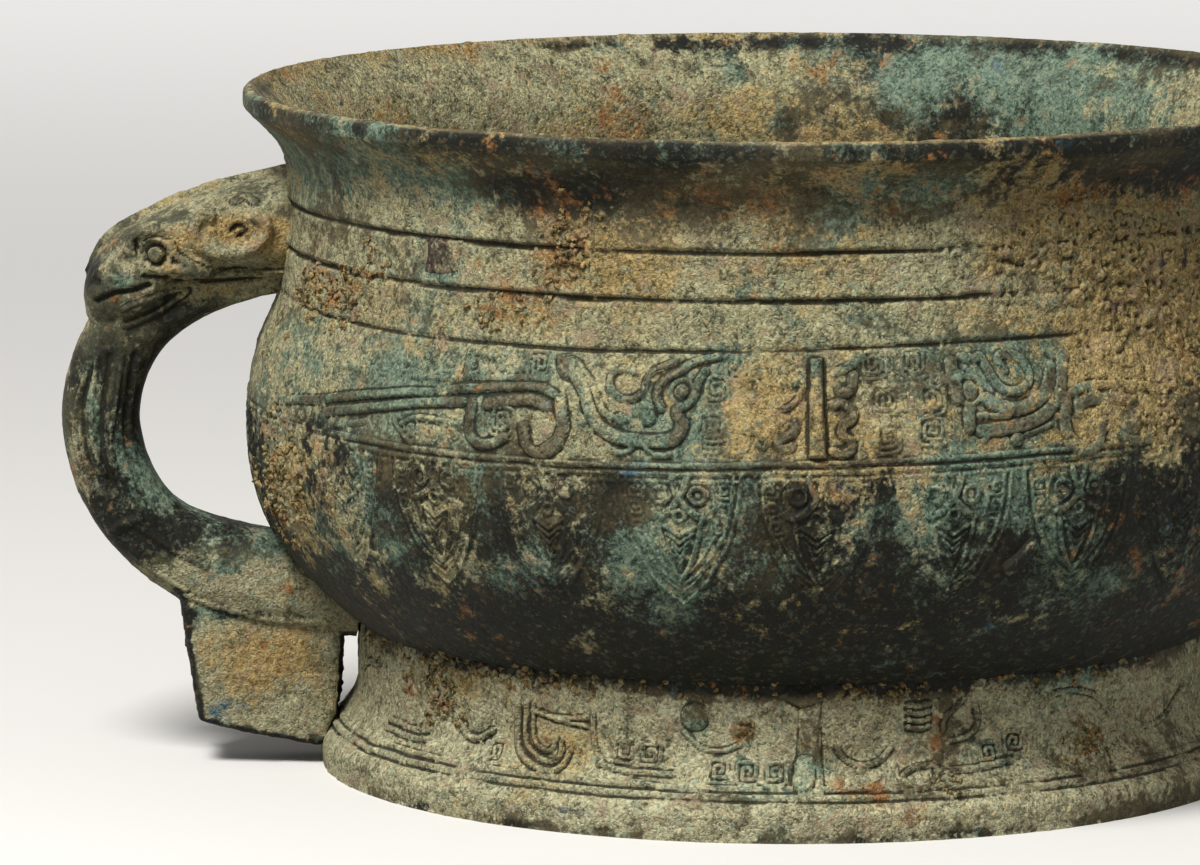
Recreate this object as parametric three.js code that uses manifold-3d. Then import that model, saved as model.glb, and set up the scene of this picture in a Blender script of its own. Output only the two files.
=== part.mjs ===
// A bronze gui: a round food bowl on a ring foot, with two animal-headed loop handles.
// Millimetres, +Z up. The origin is the centre of the circle that the foot stands on, and the handles lie along X.
import * as THREE from "three";
import { mergeVertices } from "three/addons/utils/BufferGeometryUtils.js";
import Module from "manifold-3d";

const wasm = await Module();
wasm.setup();

// Bowl sizes
const HEIGHT = 132;
const RIM_RADIUS = 105.5;
const LIP_EDGE = 3.4;
const LIP_ROUND = 0.9;
const LIP_FLARE = 15;
const LIP_THICKNESS = 1.6;
const NECK_RADIUS = 97.2;
const SHOULDER_RADIUS = 98.3;
const SHOULDER_HEIGHT = 93.5;
const BELLY_RADIUS = 104.9;
const BELLY_HEIGHT = 66;
const FLOOR_DROP = 7.5;
const WALL = 2.8;

// Raised courses round the neck, and the two that border the bird frieze
const COURSE_HEIGHTS = [111.6, 102.8, 93.3, 73.4];
const COURSE_WIDTH = 1.6;
const COURSE_PROUD = 0.5;

// Ring foot sizes
const FOOT_HEIGHT = 28.5;
const FOOT_TOP_RADIUS = 83.5;
const FOOT_RADIUS = 90.7;
const FOOT_BAND = 5;
const FOOT_WAIST = 17;
const FOOT_WALL = 3;
const FOOT_COURSE_HEIGHT = 9.5;

// Short upright ridges on the front and the back, on the frieze and on the foot
const RIDGE_WIDTH = 2.4;
const RIDGE_PROUD = 2.2;
const FOOT_RIDGE_PROUD = 1.7;
const RIDGE_SINK = 1.4;
const RIDGE_NOTCHES = 4;

// Handle sizes
const HANDLE_REACH = 36;
const LOOP_DEPTH = 15;
const LOOP_WIDTH = 17;
const ROOT_DEPTH = 19;
const ROOT_WIDTH = 20;
const HEAD_WIDTH = 26;
const HANDLE_WALL = 3;
const SPUR_LENGTH = 5;
const EYE_RADIUS = 2.9;
const NOSTRIL_RADIUS = 1.6;
const HORN_RADIUS = 1.5;
const PENDANT_OUT = 13.6;
const PENDANT_TAPER = 4;
const PENDANT_BOTTOM = 3.4;
const PENDANT_SLOPE = 5;
const PENDANT_SLOT = 3;
const PENDANT_WIDTH = 15;
const PENDANT_BEVEL = 1.6;
const PENDANT_GAP = 1;

// Casting spacers left in the wall
const SPACER_WIDTH = 9;
const SPACER_HEIGHT = 6;
const NECK_SPACER_HEIGHT = 107.2;
const NECK_SPACER_ANGLES = [44, 136, 224, 316];
const FLOOR_SPACER_RADIUS = 46;
const FLOOR_SPACER_ANGLES = [45, 135, 225, 315];

// Clearance between two pieces that touch
const FIT_GAP = 0.3;

const TURNED_SIDES = 48;
const LOOP_STATIONS = 20;
const LOOP_SIDES = 12;
const CORE_STATIONS = 13;
const CORE_SIDES = 10;
const HEAD_STATIONS = 10;
const HEAD_SIDES = 16;

const point = (x, y) => new THREE.Vector2(x, y);
const radians = THREE.MathUtils.degToRad;

// A closed geometry as a manifold-3d solid, turned the right way out.
function toSolid(geometry) {
  const loose = geometry.index ? geometry.toNonIndexed() : geometry;
  const bare = new THREE.BufferGeometry().setAttribute("position", loose.getAttribute("position"));
  const merged = mergeVertices(bare, 1e-4);
  const corners = Array.from(merged.index.array);
  const triangles = [];
  for (let i = 0; i < corners.length; i += 3) {
    const [a, b, c] = corners.slice(i, i + 3);
    if (a !== b && b !== c && c !== a) triangles.push(a, b, c);
  }
  const build = (list) =>
    new wasm.Manifold(
      new wasm.Mesh({
        numProp: 3,
        vertProperties: new Float32Array(merged.getAttribute("position").array),
        triVerts: new Uint32Array(list),
      }),
    );
  const solid = build(triangles);
  return solid.volume() > 0 ? solid : build(triangles.reverse());
}

// A solid back as a flat-shaded geometry.
function toGeometry(solid) {
  const mesh = solid.getMesh();
  const places = [];
  for (let i = 0; i < mesh.numVert; i++) {
    const at = i * mesh.numProp;
    places.push(mesh.vertProperties[at], mesh.vertProperties[at + 1], mesh.vertProperties[at + 2]);
  }
  const geometry = new THREE.BufferGeometry();
  geometry.setAttribute("position", new THREE.Float32BufferAttribute(places, 3));
  geometry.setIndex(Array.from(mesh.triVerts));
  geometry.computeVertexNormals();
  return geometry;
}

const join = (solids) => solids.reduce((all, next) => all.add(next));

// A solid turned from a profile of (radius, height) points that starts and ends on the axis.
function turned(profile) {
  return toSolid(new THREE.LatheGeometry(profile, TURNED_SIDES).rotateX(Math.PI / 2));
}

// The profile moved sideways by a distance, to its right for a positive one.
function offset(profile, distance) {
  return profile.map((p, i) => {
    const before = profile[Math.max(i - 1, 0)];
    const after = profile[Math.min(i + 1, profile.length - 1)];
    const along = after.clone().sub(before).normalize();
    const moved = point(p.x + along.y * distance, p.y - along.x * distance);
    return i === 0 || p.x < 1e-6 ? point(0, p.y - distance) : moved;
  });
}

const curved = (steps, ...ends) => new THREE.CubicBezierCurve(...ends).getPoints(steps).slice(1);

// The bowl's outside from the middle of the floor to the top of the neck, without the courses.
function wallProfile() {
  const floor = point(0, FOOT_HEIGHT - FLOOR_DROP);
  const seat = point(FOOT_TOP_RADIUS, FOOT_HEIGHT);
  const belly = point(BELLY_RADIUS, BELLY_HEIGHT);
  const shoulder = point(SHOULDER_RADIUS, SHOULDER_HEIGHT);
  const neck = point(NECK_RADIUS, HEIGHT - LIP_FLARE);
  const swell = belly.clone().sub(seat);
  const close = shoulder.clone().sub(belly);
  const rise = neck.y - shoulder.y;
  return [
    floor,
    ...curved(3, floor, point(seat.x * 0.4, floor.y), point(seat.x * 0.8, seat.y - FLOOR_DROP * 0.5), seat),
    ...curved(6, seat, point(seat.x + swell.x * 0.7, seat.y + swell.y * 0.3), point(belly.x, belly.y - swell.y * 0.4), belly),
    ...curved(4, belly, point(belly.x, belly.y + close.y * 0.6), point(shoulder.x - close.x * 0.4, shoulder.y - close.y * 0.3), shoulder),
    ...curved(2, shoulder, point(shoulder.x - 0.8, shoulder.y + rise / 3), point(neck.x - 0.3, neck.y - rise / 3), neck),
  ];
}

// Radius of a rising profile at a height.
function radiusAt(profile, height) {
  const i = profile.findIndex((p, k) => k > 0 && p.y >= height && profile[k - 1].y <= height);
  const [low, high] = [profile[i - 1], profile[i]];
  return low.x + ((high.x - low.x) * (height - low.y)) / (high.y - low.y);
}

// The profile with a raised course added round it at a height, made wider on each side where asked.
function withCourse(profile, height, wider = 0) {
  const [low, high] = [height - COURSE_WIDTH / 2 - wider, height + COURSE_WIDTH / 2 + wider];
  const crest = [height - COURSE_WIDTH / 4 - wider, height + COURSE_WIDTH / 4 + wider];
  const ring = [
    point(radiusAt(profile, low), low),
    ...crest.map((y) => point(radiusAt(profile, y) + COURSE_PROUD, y)),
    point(radiusAt(profile, high), high),
  ];
  const clear = (p) => p.y < low - 0.2 || p.y > high + 0.2;
  const below = profile.filter((p) => clear(p) && p.y < height);
  const above = profile.filter((p) => clear(p) && p.y > height);
  return [...below, ...ring, ...above];
}

const wall = wallProfile();
const neckTop = wall[wall.length - 1];
const lipUnder = curved(
  4,
  neckTop,
  point(neckTop.x + 0.6, neckTop.y + LIP_FLARE * 0.33),
  point(neckTop.x + (RIM_RADIUS - NECK_RADIUS) * 0.5, neckTop.y + LIP_FLARE * 0.5),
  point(RIM_RADIUS, HEIGHT - LIP_EDGE),
);
const lipTop = [point(RIM_RADIUS, HEIGHT - LIP_ROUND), point(RIM_RADIUS - LIP_ROUND, HEIGHT)];
const outside = [...wall, ...lipUnder, ...lipTop];
const lipInside = point(RIM_RADIUS - LIP_THICKNESS, HEIGHT);
const neckInside = point(neckTop.x - WALL, neckTop.y);
const mouth = curved(
  4,
  neckInside,
  point(neckInside.x + 0.4, neckInside.y + LIP_FLARE * 0.4),
  point(lipInside.x - LIP_THICKNESS * 2, lipInside.y - LIP_FLARE * 0.25),
  lipInside,
);

// The bowl's space filled to the axis, and wider than its plain skin by a distance.
function bulk(distance) {
  const skin = offset(outside, distance);
  return turned([...skin, point(0, skin[skin.length - 1].y)]);
}

// The bowl's space with its courses, and a clearance outside them all, for what sits against it.
function bowlSeat() {
  const skin = COURSE_HEIGHTS.reduce((line, at) => withCourse(line, at, FIT_GAP), offset(outside, FIT_GAP));
  return turned([...skin, point(0, skin[skin.length - 1].y)]);
}

function bowlInside() {
  const lining = offset(wall, -WALL).slice(0, -1);
  const clear = HEIGHT + WALL;
  return turned([...lining, neckInside, ...mouth, point(lipInside.x, clear), point(0, clear)]);
}

function bowlOutside() {
  const coursed = COURSE_HEIGHTS.reduce((line, at) => withCourse(line, at), outside);
  return turned([...coursed, point(0, HEIGHT)]);
}

// An upright ridge of notched outline, standing on a line of (radius, height) points.
function ridge(foot, proud) {
  const shape = new THREE.Shape();
  shape.moveTo(foot[0].x - RIDGE_SINK, foot[0].y);
  const last = foot.length - 1;
  foot.forEach((p, i) => {
    const notched = i > 0 && i < last && i % 2 === 1;
    shape.lineTo(p.x + (notched ? proud * 0.7 : proud), p.y);
  });
  shape.lineTo(foot[last].x - RIDGE_SINK, foot[last].y);
  const blade = new THREE.ExtrudeGeometry(shape, { depth: RIDGE_WIDTH, bevelEnabled: false, steps: 1 });
  return blade.translate(0, 0, -RIDGE_WIDTH / 2).rotateX(Math.PI / 2).rotateZ(-Math.PI / 2);
}

// Evenly spaced points up a profile between two heights.
function stretch(profile, low, high, steps) {
  return Array.from({ length: steps + 1 }, (_, i) => {
    const y = low + ((high - low) * i) / steps;
    return point(radiusAt(profile, y), y);
  });
}

// The same piece on the front and on the back.
const frontAndBack = (geometry) => [toSolid(geometry), toSolid(geometry.clone().rotateZ(Math.PI))];

function friezeRidges() {
  const [top, bottom] = [COURSE_HEIGHTS[2], COURSE_HEIGHTS[3]];
  return frontAndBack(ridge(stretch(wall, bottom, top, RIDGE_NOTCHES * 2), RIDGE_PROUD));
}

// The foot's outside, from its standing edge to inside the bowl's skin.
function footOutside() {
  const band = point(FOOT_RADIUS, FOOT_BAND);
  const waist = point(FOOT_TOP_RADIUS, FOOT_WAIST);
  const flare = curved(
    5,
    band,
    point(band.x - 1.2, band.y + 2.4),
    point(waist.x + 0.4, waist.y - (FOOT_WAIST - FOOT_BAND) * 0.5),
    waist,
  );
  return [point(FOOT_RADIUS, 0), band, ...flare, point(FOOT_TOP_RADIUS, FOOT_HEIGHT + FOOT_WALL)];
}

// The space outside the foot's skin by a distance, filled to the axis.
function footBulk(distance) {
  const skin = footOutside().map((p) => point(p.x + distance, p.y));
  return turned([point(0, 0), ...skin, point(0, skin[skin.length - 1].y)]);
}

// A smooth tube between two end sections: rings of equally many corners, closed at both ends.
function loft(rings) {
  const places = [];
  const put = (...corners) => corners.forEach((c) => places.push(c.x, c.y, c.z));
  const sides = rings[0].length;
  for (let i = 0; i + 1 < rings.length; i++) {
    for (let k = 0; k < sides; k++) {
      const n = (k + 1) % sides;
      put(rings[i][k], rings[i + 1][k], rings[i + 1][n]);
      put(rings[i][k], rings[i + 1][n], rings[i][n]);
    }
  }
  [rings[0], rings[rings.length - 1]].forEach((ring, end) => {
    const middle = ring.reduce((sum, c) => sum.add(c), new THREE.Vector3()).divideScalar(sides);
    for (let k = 0; k < sides; k++) {
      const n = (k + 1) % sides;
      if (end) put(middle, ring[n], ring[k]);
      else put(middle, ring[k], ring[n]);
    }
  });
  return toSolid(new THREE.BufferGeometry().setAttribute("position", new THREE.Float32BufferAttribute(places, 3)));
}

// A rounded-square section across the handle. The direction points to the handle's outer side.
function section(centre, direction, depth, width, sides, squareness) {
  const bulge = (v) => Math.sign(v) * Math.abs(v) ** (2 / squareness);
  return Array.from({ length: sides }, (_, k) => {
    const turn = (2 * Math.PI * k) / sides;
    const out = (bulge(Math.cos(turn)) * depth) / 2;
    const side = (bulge(Math.sin(turn)) * width) / 2;
    return new THREE.Vector3(centre.x + direction.x * out, side, centre.y + direction.y * out);
  });
}

// A place on the handle's side view: 0 to 1 outwards from the belly, and 0 to 1 up from the foot to the neck.
const handleRise = HEIGHT - LIP_FLARE - FOOT_HEIGHT;
const inHandle = (out, up) => point(BELLY_RADIUS + out * HANDLE_REACH, FOOT_HEIGHT + up * handleRise);

// The loop's middle line, from inside the neck, out and down, to inside the lower belly.
const loopReach = HANDLE_REACH - LOOP_DEPTH / 2;
const loopLine = new THREE.SplineCurve(
  [
    [-0.73, 0.82],
    [-0.03, 0.79],
    [0.51, 0.72],
    [0.86, 0.607],
    [1, 0.446],
    [0.87, 0.282],
    [0.545, 0.164],
    [-0.03, 0.09],
    [-0.8, 0.06],
  ].map(([out, up]) => point(BELLY_RADIUS + out * loopReach, FOOT_HEIGHT + up * handleRise)),
);

// The loop's body, or the space inside it where a skin is taken off all round.
function loop(skin, stations, sides) {
  const rings = Array.from({ length: stations + 1 }, (_, i) => {
    const t = i / stations;
    const along = loopLine.getTangent(t);
    const root = THREE.MathUtils.smoothstep(t, 0.68, 0.9);
    const depth = THREE.MathUtils.lerp(LOOP_DEPTH, ROOT_DEPTH, root);
    const width = THREE.MathUtils.lerp(LOOP_WIDTH, ROOT_WIDTH, root);
    return section(loopLine.getPoint(t), point(-along.y, along.x), depth - 2 * skin, width - 2 * skin, sides, 2.8);
  });
  return loft(rings);
}

// The animal's head: a hood over the loop, between its crown and its jaw lines.
const crown = new THREE.SplineCurve(
  [
    [-0.58, 1.02],
    [-0.19, 0.984],
    [0.2, 0.941],
    [0.53, 0.887],
    [0.765, 0.823],
    [0.87, 0.74],
    [0.861, 0.668],
  ].map(([out, up]) => inHandle(out, up)),
);
const jaw = new THREE.SplineCurve(
  [
    [-0.58, 0.772],
    [-0.19, 0.768],
    [0.14, 0.767],
    [0.335, 0.756],
    [0.46, 0.693],
    [0.585, 0.65],
    [0.737, 0.645],
  ].map(([out, up]) => inHandle(out, up)),
);
const HEAD_WIDTHS = [0.86, 0.93, 1, 1, 0.93, 0.76, 0.5];

function headWidth(t) {
  const at = t * (HEAD_WIDTHS.length - 1);
  const i = Math.min(Math.floor(at), HEAD_WIDTHS.length - 2);
  return HEAD_WIDTH * THREE.MathUtils.lerp(HEAD_WIDTHS[i], HEAD_WIDTHS[i + 1], at - i);
}

function head() {
  const rings = Array.from({ length: HEAD_STATIONS + 1 }, (_, i) => {
    const t = i / HEAD_STATIONS;
    const across = crown.getPoint(t).sub(jaw.getPoint(t));
    const middle = crown.getPoint(t).add(jaw.getPoint(t)).divideScalar(2);
    return section(middle, across.clone().normalize(), across.length(), headWidth(t), HEAD_SIDES, 2.6);
  });
  return loft(rings);
}

// A round boss on each side of the handle.
function bosses(place, side, radius) {
  return [-1, 1].map((way) =>
    toSolid(new THREE.SphereGeometry(radius, 8, 6).translate(place.x, way * side, place.y)),
  );
}

// A curled horn in low relief on each side of the head.
function horns() {
  const side = HEAD_WIDTH / 2 - HORN_RADIUS * 0.35;
  const curl = [
    [0.4, 0.85],
    [0.23, 0.893],
    [0.04, 0.868],
    [0.0, 0.808],
    [0.12, 0.782],
    [0.22, 0.812],
  ];
  const round = new THREE.Shape();
  round.absarc(0, 0, HORN_RADIUS, 0, 2 * Math.PI);
  return [-1, 1].map((way) => {
    const path = new THREE.CatmullRomCurve3(
      curl.map(([out, up]) => {
        const p = inHandle(out, up);
        return new THREE.Vector3(p.x, way * side, p.y);
      }),
    );
    return toSolid(new THREE.ExtrudeGeometry(round, { steps: 10, extrudePath: path, curveSegments: 3 }));
  });
}

// The squared tab that hangs under the loop, beside the foot.
function pendant() {
  const shape = new THREE.Shape();
  shape.moveTo(BELLY_RADIUS + PENDANT_OUT, FOOT_HEIGHT + ROOT_DEPTH * 0.3);
  shape.lineTo(BELLY_RADIUS + PENDANT_OUT - PENDANT_TAPER, PENDANT_BOTTOM + PENDANT_SLOPE);
  shape.lineTo(FOOT_RADIUS, PENDANT_BOTTOM);
  shape.lineTo(FOOT_TOP_RADIUS + PENDANT_SLOT + 1.5, PENDANT_BOTTOM + PENDANT_SLOPE + 2);
  shape.lineTo(FOOT_TOP_RADIUS + PENDANT_SLOT, FOOT_HEIGHT);
  const tab = new THREE.ExtrudeGeometry(shape, {
    depth: PENDANT_WIDTH - 2 * PENDANT_BEVEL,
    bevelThickness: PENDANT_BEVEL,
    bevelSize: PENDANT_BEVEL,
    bevelOffset: -PENDANT_BEVEL,
    bevelSegments: 2,
  });
  return toSolid(tab.translate(0, 0, PENDANT_BEVEL - PENDANT_WIDTH / 2).rotateX(Math.PI / 2));
}

// The handle on the +X side: hollow round its clay core, and open where its two ends meet the bowl.
function handle() {
  const eye = inHandle(0.49, 0.793);
  const nostril = inHandle(0.8, 0.7);
  const body = join([
    loop(0, LOOP_STATIONS, LOOP_SIDES),
    head(),
    pendant(),
    ...horns(),
    ...bosses(eye, headWidth(0.6) / 2 - EYE_RADIUS * 0.35, EYE_RADIUS),
    ...bosses(nostril, headWidth(0.95) / 2 - NOSTRIL_RADIUS * 0.2, NOSTRIL_RADIUS),
  ]);
  const hollow = loop(HANDLE_WALL, CORE_STATIONS, CORE_SIDES);
  return body.subtract(bowlSeat()).subtract(footBulk(PENDANT_GAP)).subtract(hollow);
}

const filling = loop(HANDLE_WALL + FIT_GAP, CORE_STATIONS, CORE_SIDES).subtract(footBulk(PENDANT_GAP));
const core = filling.subtract(bulk(SPUR_LENGTH + FIT_GAP));
const spur = filling.intersect(bulk(SPUR_LENGTH));
const spurs = [spur, toSolid(toGeometry(spur).rotateZ(Math.PI))];

// A bar right through the wall, for a spacer, or for its window where the bar is wider all round.
function neckBar(angle, wider) {
  const bar = new THREE.BoxGeometry(SPACER_WIDTH + 2 * wider, WALL * 6, SPACER_HEIGHT + 2 * wider);
  return toSolid(bar.translate(0, -NECK_RADIUS, NECK_SPACER_HEIGHT).rotateZ(radians(angle)));
}

function floorBar(angle, wider) {
  const bar = new THREE.BoxGeometry(SPACER_WIDTH + 2 * wider, SPACER_HEIGHT + 2 * wider, WALL * 8);
  return toSolid(bar.translate(0, -FLOOR_SPACER_RADIUS, FOOT_HEIGHT - FLOOR_DROP / 2).rotateZ(radians(angle)));
}

const spacerBars = (wider) => [
  ...NECK_SPACER_ANGLES.map((angle) => neckBar(angle, wider)),
  ...FLOOR_SPACER_ANGLES.map((angle) => floorBar(angle, wider)),
];

const inside = bowlInside();
const shell = bowlOutside().subtract(inside);
const bowlBody = join([shell, ...spurs.map((s) => s.subtract(inside)), ...friezeRidges()]);
const bowl = spacerBars(FIT_GAP).reduce((left, bar) => left.subtract(bar), bowlBody);
const spacers = spacerBars(0).map((bar) => shell.intersect(bar));

function ringFoot() {
  const skin = footOutside();
  const lining = skin.map((p) => point(p.x - FOOT_WALL, p.y)).reverse();
  const ring = turned([...skin, ...lining, skin[0]]);
  const ridges = frontAndBack(ridge(stretch(skin, FOOT_COURSE_HEIGHT, FOOT_HEIGHT - FOOT_WALL, 4), FOOT_RIDGE_PROUD));
  return join([ring, ...ridges]).subtract(bulk(FIT_GAP));
}

const patina = new THREE.MeshStandardMaterial({ color: 0x847c58, roughness: 0.78, metalness: 0.25 });
const darkPatina = new THREE.MeshStandardMaterial({ color: 0x5c5a44, roughness: 0.7, metalness: 0.35 });
const baredBronze = new THREE.MeshStandardMaterial({ color: 0x54453a, roughness: 0.6, metalness: 0.5 });
const clay = new THREE.MeshStandardMaterial({ color: 0x8b6a4f, roughness: 0.95, metalness: 0 });

const gui = new THREE.Group();

function add(name, solid, material, turn = 0) {
  const mesh = new THREE.Mesh(toGeometry(solid), material);
  mesh.name = name;
  mesh.rotation.z = turn;
  gui.add(mesh);
}

const handleSolid = handle();
add("bowl", bowl, patina);
add("ring_foot", ringFoot(), patina);
add("handle_right", handleSolid, darkPatina);
add("handle_left", handleSolid, darkPatina, Math.PI);
add("handle_core_right", core, clay);
add("handle_core_left", core, clay, Math.PI);
NECK_SPACER_ANGLES.forEach((_, i) => add(`neck_spacer_${i + 1}`, spacers[i], baredBronze));
FLOOR_SPACER_ANGLES.forEach((_, i) => add(`floor_spacer_${i + 1}`, spacers[NECK_SPACER_ANGLES.length + i], baredBronze));

export default gui;
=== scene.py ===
# %% [markdown]
# # A bronze gui, dressed in Blender
#
# The real object is a ritual food vessel of cast bronze: a round bowl on a ring foot, with two
# handles that rise from animal heads. The solids that carry each other are already made, so this
# script only adds the surface: the cast ornament, the wear and three thousand years of corrosion.
# Everything is in metres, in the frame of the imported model. The drawing sizes below are written in
# millimetres, which is how a caster or a conservator would give them.

# %% Load the fixed frame
import math
import bmesh
import bpy
import numpy as np
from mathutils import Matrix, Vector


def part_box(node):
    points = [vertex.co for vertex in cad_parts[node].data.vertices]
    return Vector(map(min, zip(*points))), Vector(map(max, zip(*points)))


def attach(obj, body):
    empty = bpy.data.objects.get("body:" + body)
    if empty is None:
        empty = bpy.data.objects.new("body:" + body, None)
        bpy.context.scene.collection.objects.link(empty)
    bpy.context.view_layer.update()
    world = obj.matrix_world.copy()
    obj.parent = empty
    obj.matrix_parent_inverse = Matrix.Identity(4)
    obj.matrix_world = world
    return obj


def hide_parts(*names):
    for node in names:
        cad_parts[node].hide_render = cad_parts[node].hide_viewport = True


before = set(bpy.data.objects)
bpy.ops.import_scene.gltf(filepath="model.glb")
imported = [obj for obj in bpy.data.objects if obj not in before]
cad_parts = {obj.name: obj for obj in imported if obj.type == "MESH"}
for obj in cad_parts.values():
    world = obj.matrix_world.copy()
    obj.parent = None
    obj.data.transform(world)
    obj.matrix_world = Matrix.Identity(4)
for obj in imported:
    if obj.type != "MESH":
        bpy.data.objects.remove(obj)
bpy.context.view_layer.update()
MM = 0.001

# %% [markdown]
# ## Where the viewer stands
#
# The photograph was taken with a long lens from a little above the rim, so the ellipse of the mouth
# is shallow and the front ridge stands just right of the middle. The place of the camera was worked
# out from the rim, the foot and the ridge, and is written as a distance, a height and two angles.

# %% Camera
CAMERA_DISTANCE = 1.6
CAMERA_HEIGHT = 0.295
CAMERA_TURN = math.radians(-3.0)
CAMERA_PITCH = math.radians(-8.2242)
CAMERA_AIM = math.radians(1.3056)
CAMERA_LENS = 249.13


def add(name, data):
    """Puts a new object that shows the data into the scene."""
    made = bpy.data.objects.new(name, data)
    bpy.context.scene.collection.objects.link(made)
    return made


def make_camera():
    """A long lens at the height and turn from which the vessel was photographed."""
    data = bpy.data.cameras.new("camera")
    data.lens = CAMERA_LENS
    data.sensor_width = 36.0
    data.clip_end = 50.0
    camera = add("camera", data)
    x = CAMERA_DISTANCE * math.sin(CAMERA_TURN)
    y = -CAMERA_DISTANCE * math.cos(CAMERA_TURN)
    camera.location = (x, y, CAMERA_HEIGHT)
    camera.rotation_euler = (math.pi / 2 + CAMERA_PITCH, 0.0, CAMERA_AIM + CAMERA_TURN)
    bpy.context.scene.camera = camera
    return camera


camera = make_camera()
print("camera at", [round(v, 3) for v in camera.location])

# %% [markdown]
# ## Table and light
#
# A museum photographs bronze on a plain sweep under a large soft lamp from above, which lets the
# relief cast short shadows without hard glints. One wide lamp above the front left, a weak one on
# the right and an even world do the same here. The table and the backdrop are pale to the camera
# and in reflections only. To the light they are a mid grey, so that they add little from below.

# %% Floor, world and lamps
FLOOR_SIZE = 12.0
FLOOR_SEEN = (0.82, 0.81, 0.79, 1.0)
FLOOR_LIT = (0.3, 0.3, 0.29, 1.0)
SWEEP_START, SWEEP_END = 0.25, 1.7
WORLD_LIGHT = 0.24
WORLD_SEEN = 0.86
WORLD_COLOUR = (1.0, 0.99, 0.97, 1.0)
LAMP_AIM = (0, 0, 0.06)


def fill(tree, made, inputs):
    """Gives each named input of a node a value, or a link where a socket is given."""
    for key, value in inputs.items():
        if isinstance(value, bpy.types.NodeSocket):
            tree.links.new(value, made.inputs[key])
        else:
            made.inputs[key].default_value = value
    return made


def node(tree, kind, inputs=None, **settings):
    """Adds a node, sets its plain properties by name and fills its inputs."""
    made = tree.nodes.new(kind)
    for key, value in settings.items():
        setattr(made, key, value)
    return fill(tree, made, inputs or {})


def seen_directly(tree):
    """1 for the camera, for reflections and through glass, and 0 for light that only bounces."""
    rays = node(tree, "ShaderNodeLightPath").outputs
    seen = rays["Is Camera Ray"]
    for ray in ("Is Glossy Ray", "Is Transmission Ray"):
        seen = node(tree, "ShaderNodeMath", {0: seen, 1: rays[ray]}, operation="MAXIMUM").outputs[0]
    return seen


def make_floor():
    """A wide pale table top that runs into the backdrop behind the vessel."""
    half = FLOOR_SIZE / 2
    mesh = bpy.data.meshes.new("floor")
    corners = [(-half, -half, 0), (half, -half, 0), (half, half, 0), (-half, half, 0)]
    mesh.from_pydata(corners, [], [(0, 1, 2, 3)])
    material = bpy.data.materials.new("pale table")
    material.use_nodes = True
    tree = material.node_tree
    seen = seen_directly(tree)
    colour = node(tree, "ShaderNodeMix", {0: seen, 6: FLOOR_LIT, 7: FLOOR_SEEN}, data_type="RGBA")
    surface = fill(tree, tree.nodes["Principled BSDF"], {
        "Roughness": 0.9, "Specular IOR Level": 0.1, "Base Color": colour.outputs[2]})
    here = node(tree, "ShaderNodeTexCoord").outputs["Object"]
    place = node(tree, "ShaderNodeSeparateXYZ", {0: here})
    behind = node(tree, "ShaderNodeMapRange", {
        "From Min": SWEEP_START, "From Max": SWEEP_END, "Value": place.outputs["Y"]},
        interpolation_type="SMOOTHSTEP")
    share = node(tree, "ShaderNodeMath", {0: behind.outputs["Result"], 1: seen}, operation="MULTIPLY")
    glow = node(tree, "ShaderNodeEmission", {"Color": FLOOR_SEEN})
    blend = node(tree, "ShaderNodeMixShader", {
        0: share.outputs[0], 1: surface.outputs[0], 2: glow.outputs[0]})
    fill(tree, tree.nodes["Material Output"], {"Surface": blend.outputs[0]})
    mesh.materials.append(material)
    floor = add("floor", mesh)
    return floor


def make_world():
    """Even light, and a paler backdrop that only the camera and reflections see."""
    world = bpy.data.worlds.new("studio")
    world.use_nodes = True
    tree = world.node_tree
    strength = node(tree, "ShaderNodeMapRange", {
        "To Min": WORLD_LIGHT, "To Max": WORLD_SEEN, "Value": seen_directly(tree)})
    fill(tree, tree.nodes["Background"], {
        "Color": WORLD_COLOUR, "Strength": strength.outputs["Result"]})
    bpy.context.scene.world = world


def make_lamp(name, place, size, watts, colour):
    """A square soft lamp that looks from its place to the middle of the vessel."""
    data = bpy.data.lights.new(name, "AREA")
    data.shape = "SQUARE"
    data.size = size
    data.energy = watts
    data.color = colour
    lamp = add(name, data)
    lamp.location = place
    direction = Vector(LAMP_AIM) - Vector(place)
    lamp.rotation_euler = direction.to_track_quat("-Z", "Y").to_euler()


make_floor()
make_world()
make_lamp("key lamp", (-0.55, -0.95, 1.45), 0.6, 38.0, (1.0, 0.985, 0.96))
make_lamp("side lamp", (1.5, -0.9, 0.9), 0.8, 1.5, (0.97, 0.98, 1.0))
bpy.context.scene.view_settings.view_transform = "Standard"
print("table, world and two lamps are ready")

# %% [markdown]
# ## Chance that repeats itself
#
# Wear and corrosion look random, yet the vessel must come out the same each time and the pattern
# must run on from one piece to the next. So the noise is worked out from each point's place in the
# vessel and a fixed number, and not drawn in turn from a generator. `noise` is soft hills at
# several sizes, and `spots` is scattered round dots, which serve as pits or as grains of crust.

# %% Noise in space
HASH_STEPS = (374761393, 668265263, 1440670441, 974634777)
HASH_MIX = np.uint32(1274126177)


def chance(cell, seed):
    """A number from 0 to 1 for each cell of a lattice, always the same for the same seed."""
    whole = cell.astype(np.int64).astype(np.uint32)
    mixed = np.full(whole.shape[:-1], seed * HASH_STEPS[3] % 2**32, np.uint32)
    for axis in range(3):
        mixed = mixed + whole[..., axis] * np.uint32(HASH_STEPS[axis])
    mixed = (mixed ^ (mixed >> np.uint32(13))) * HASH_MIX
    mixed = (mixed ^ (mixed >> np.uint32(15))) * HASH_MIX
    return (mixed ^ (mixed >> np.uint32(16))).astype(np.float32) / 2**32


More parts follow.
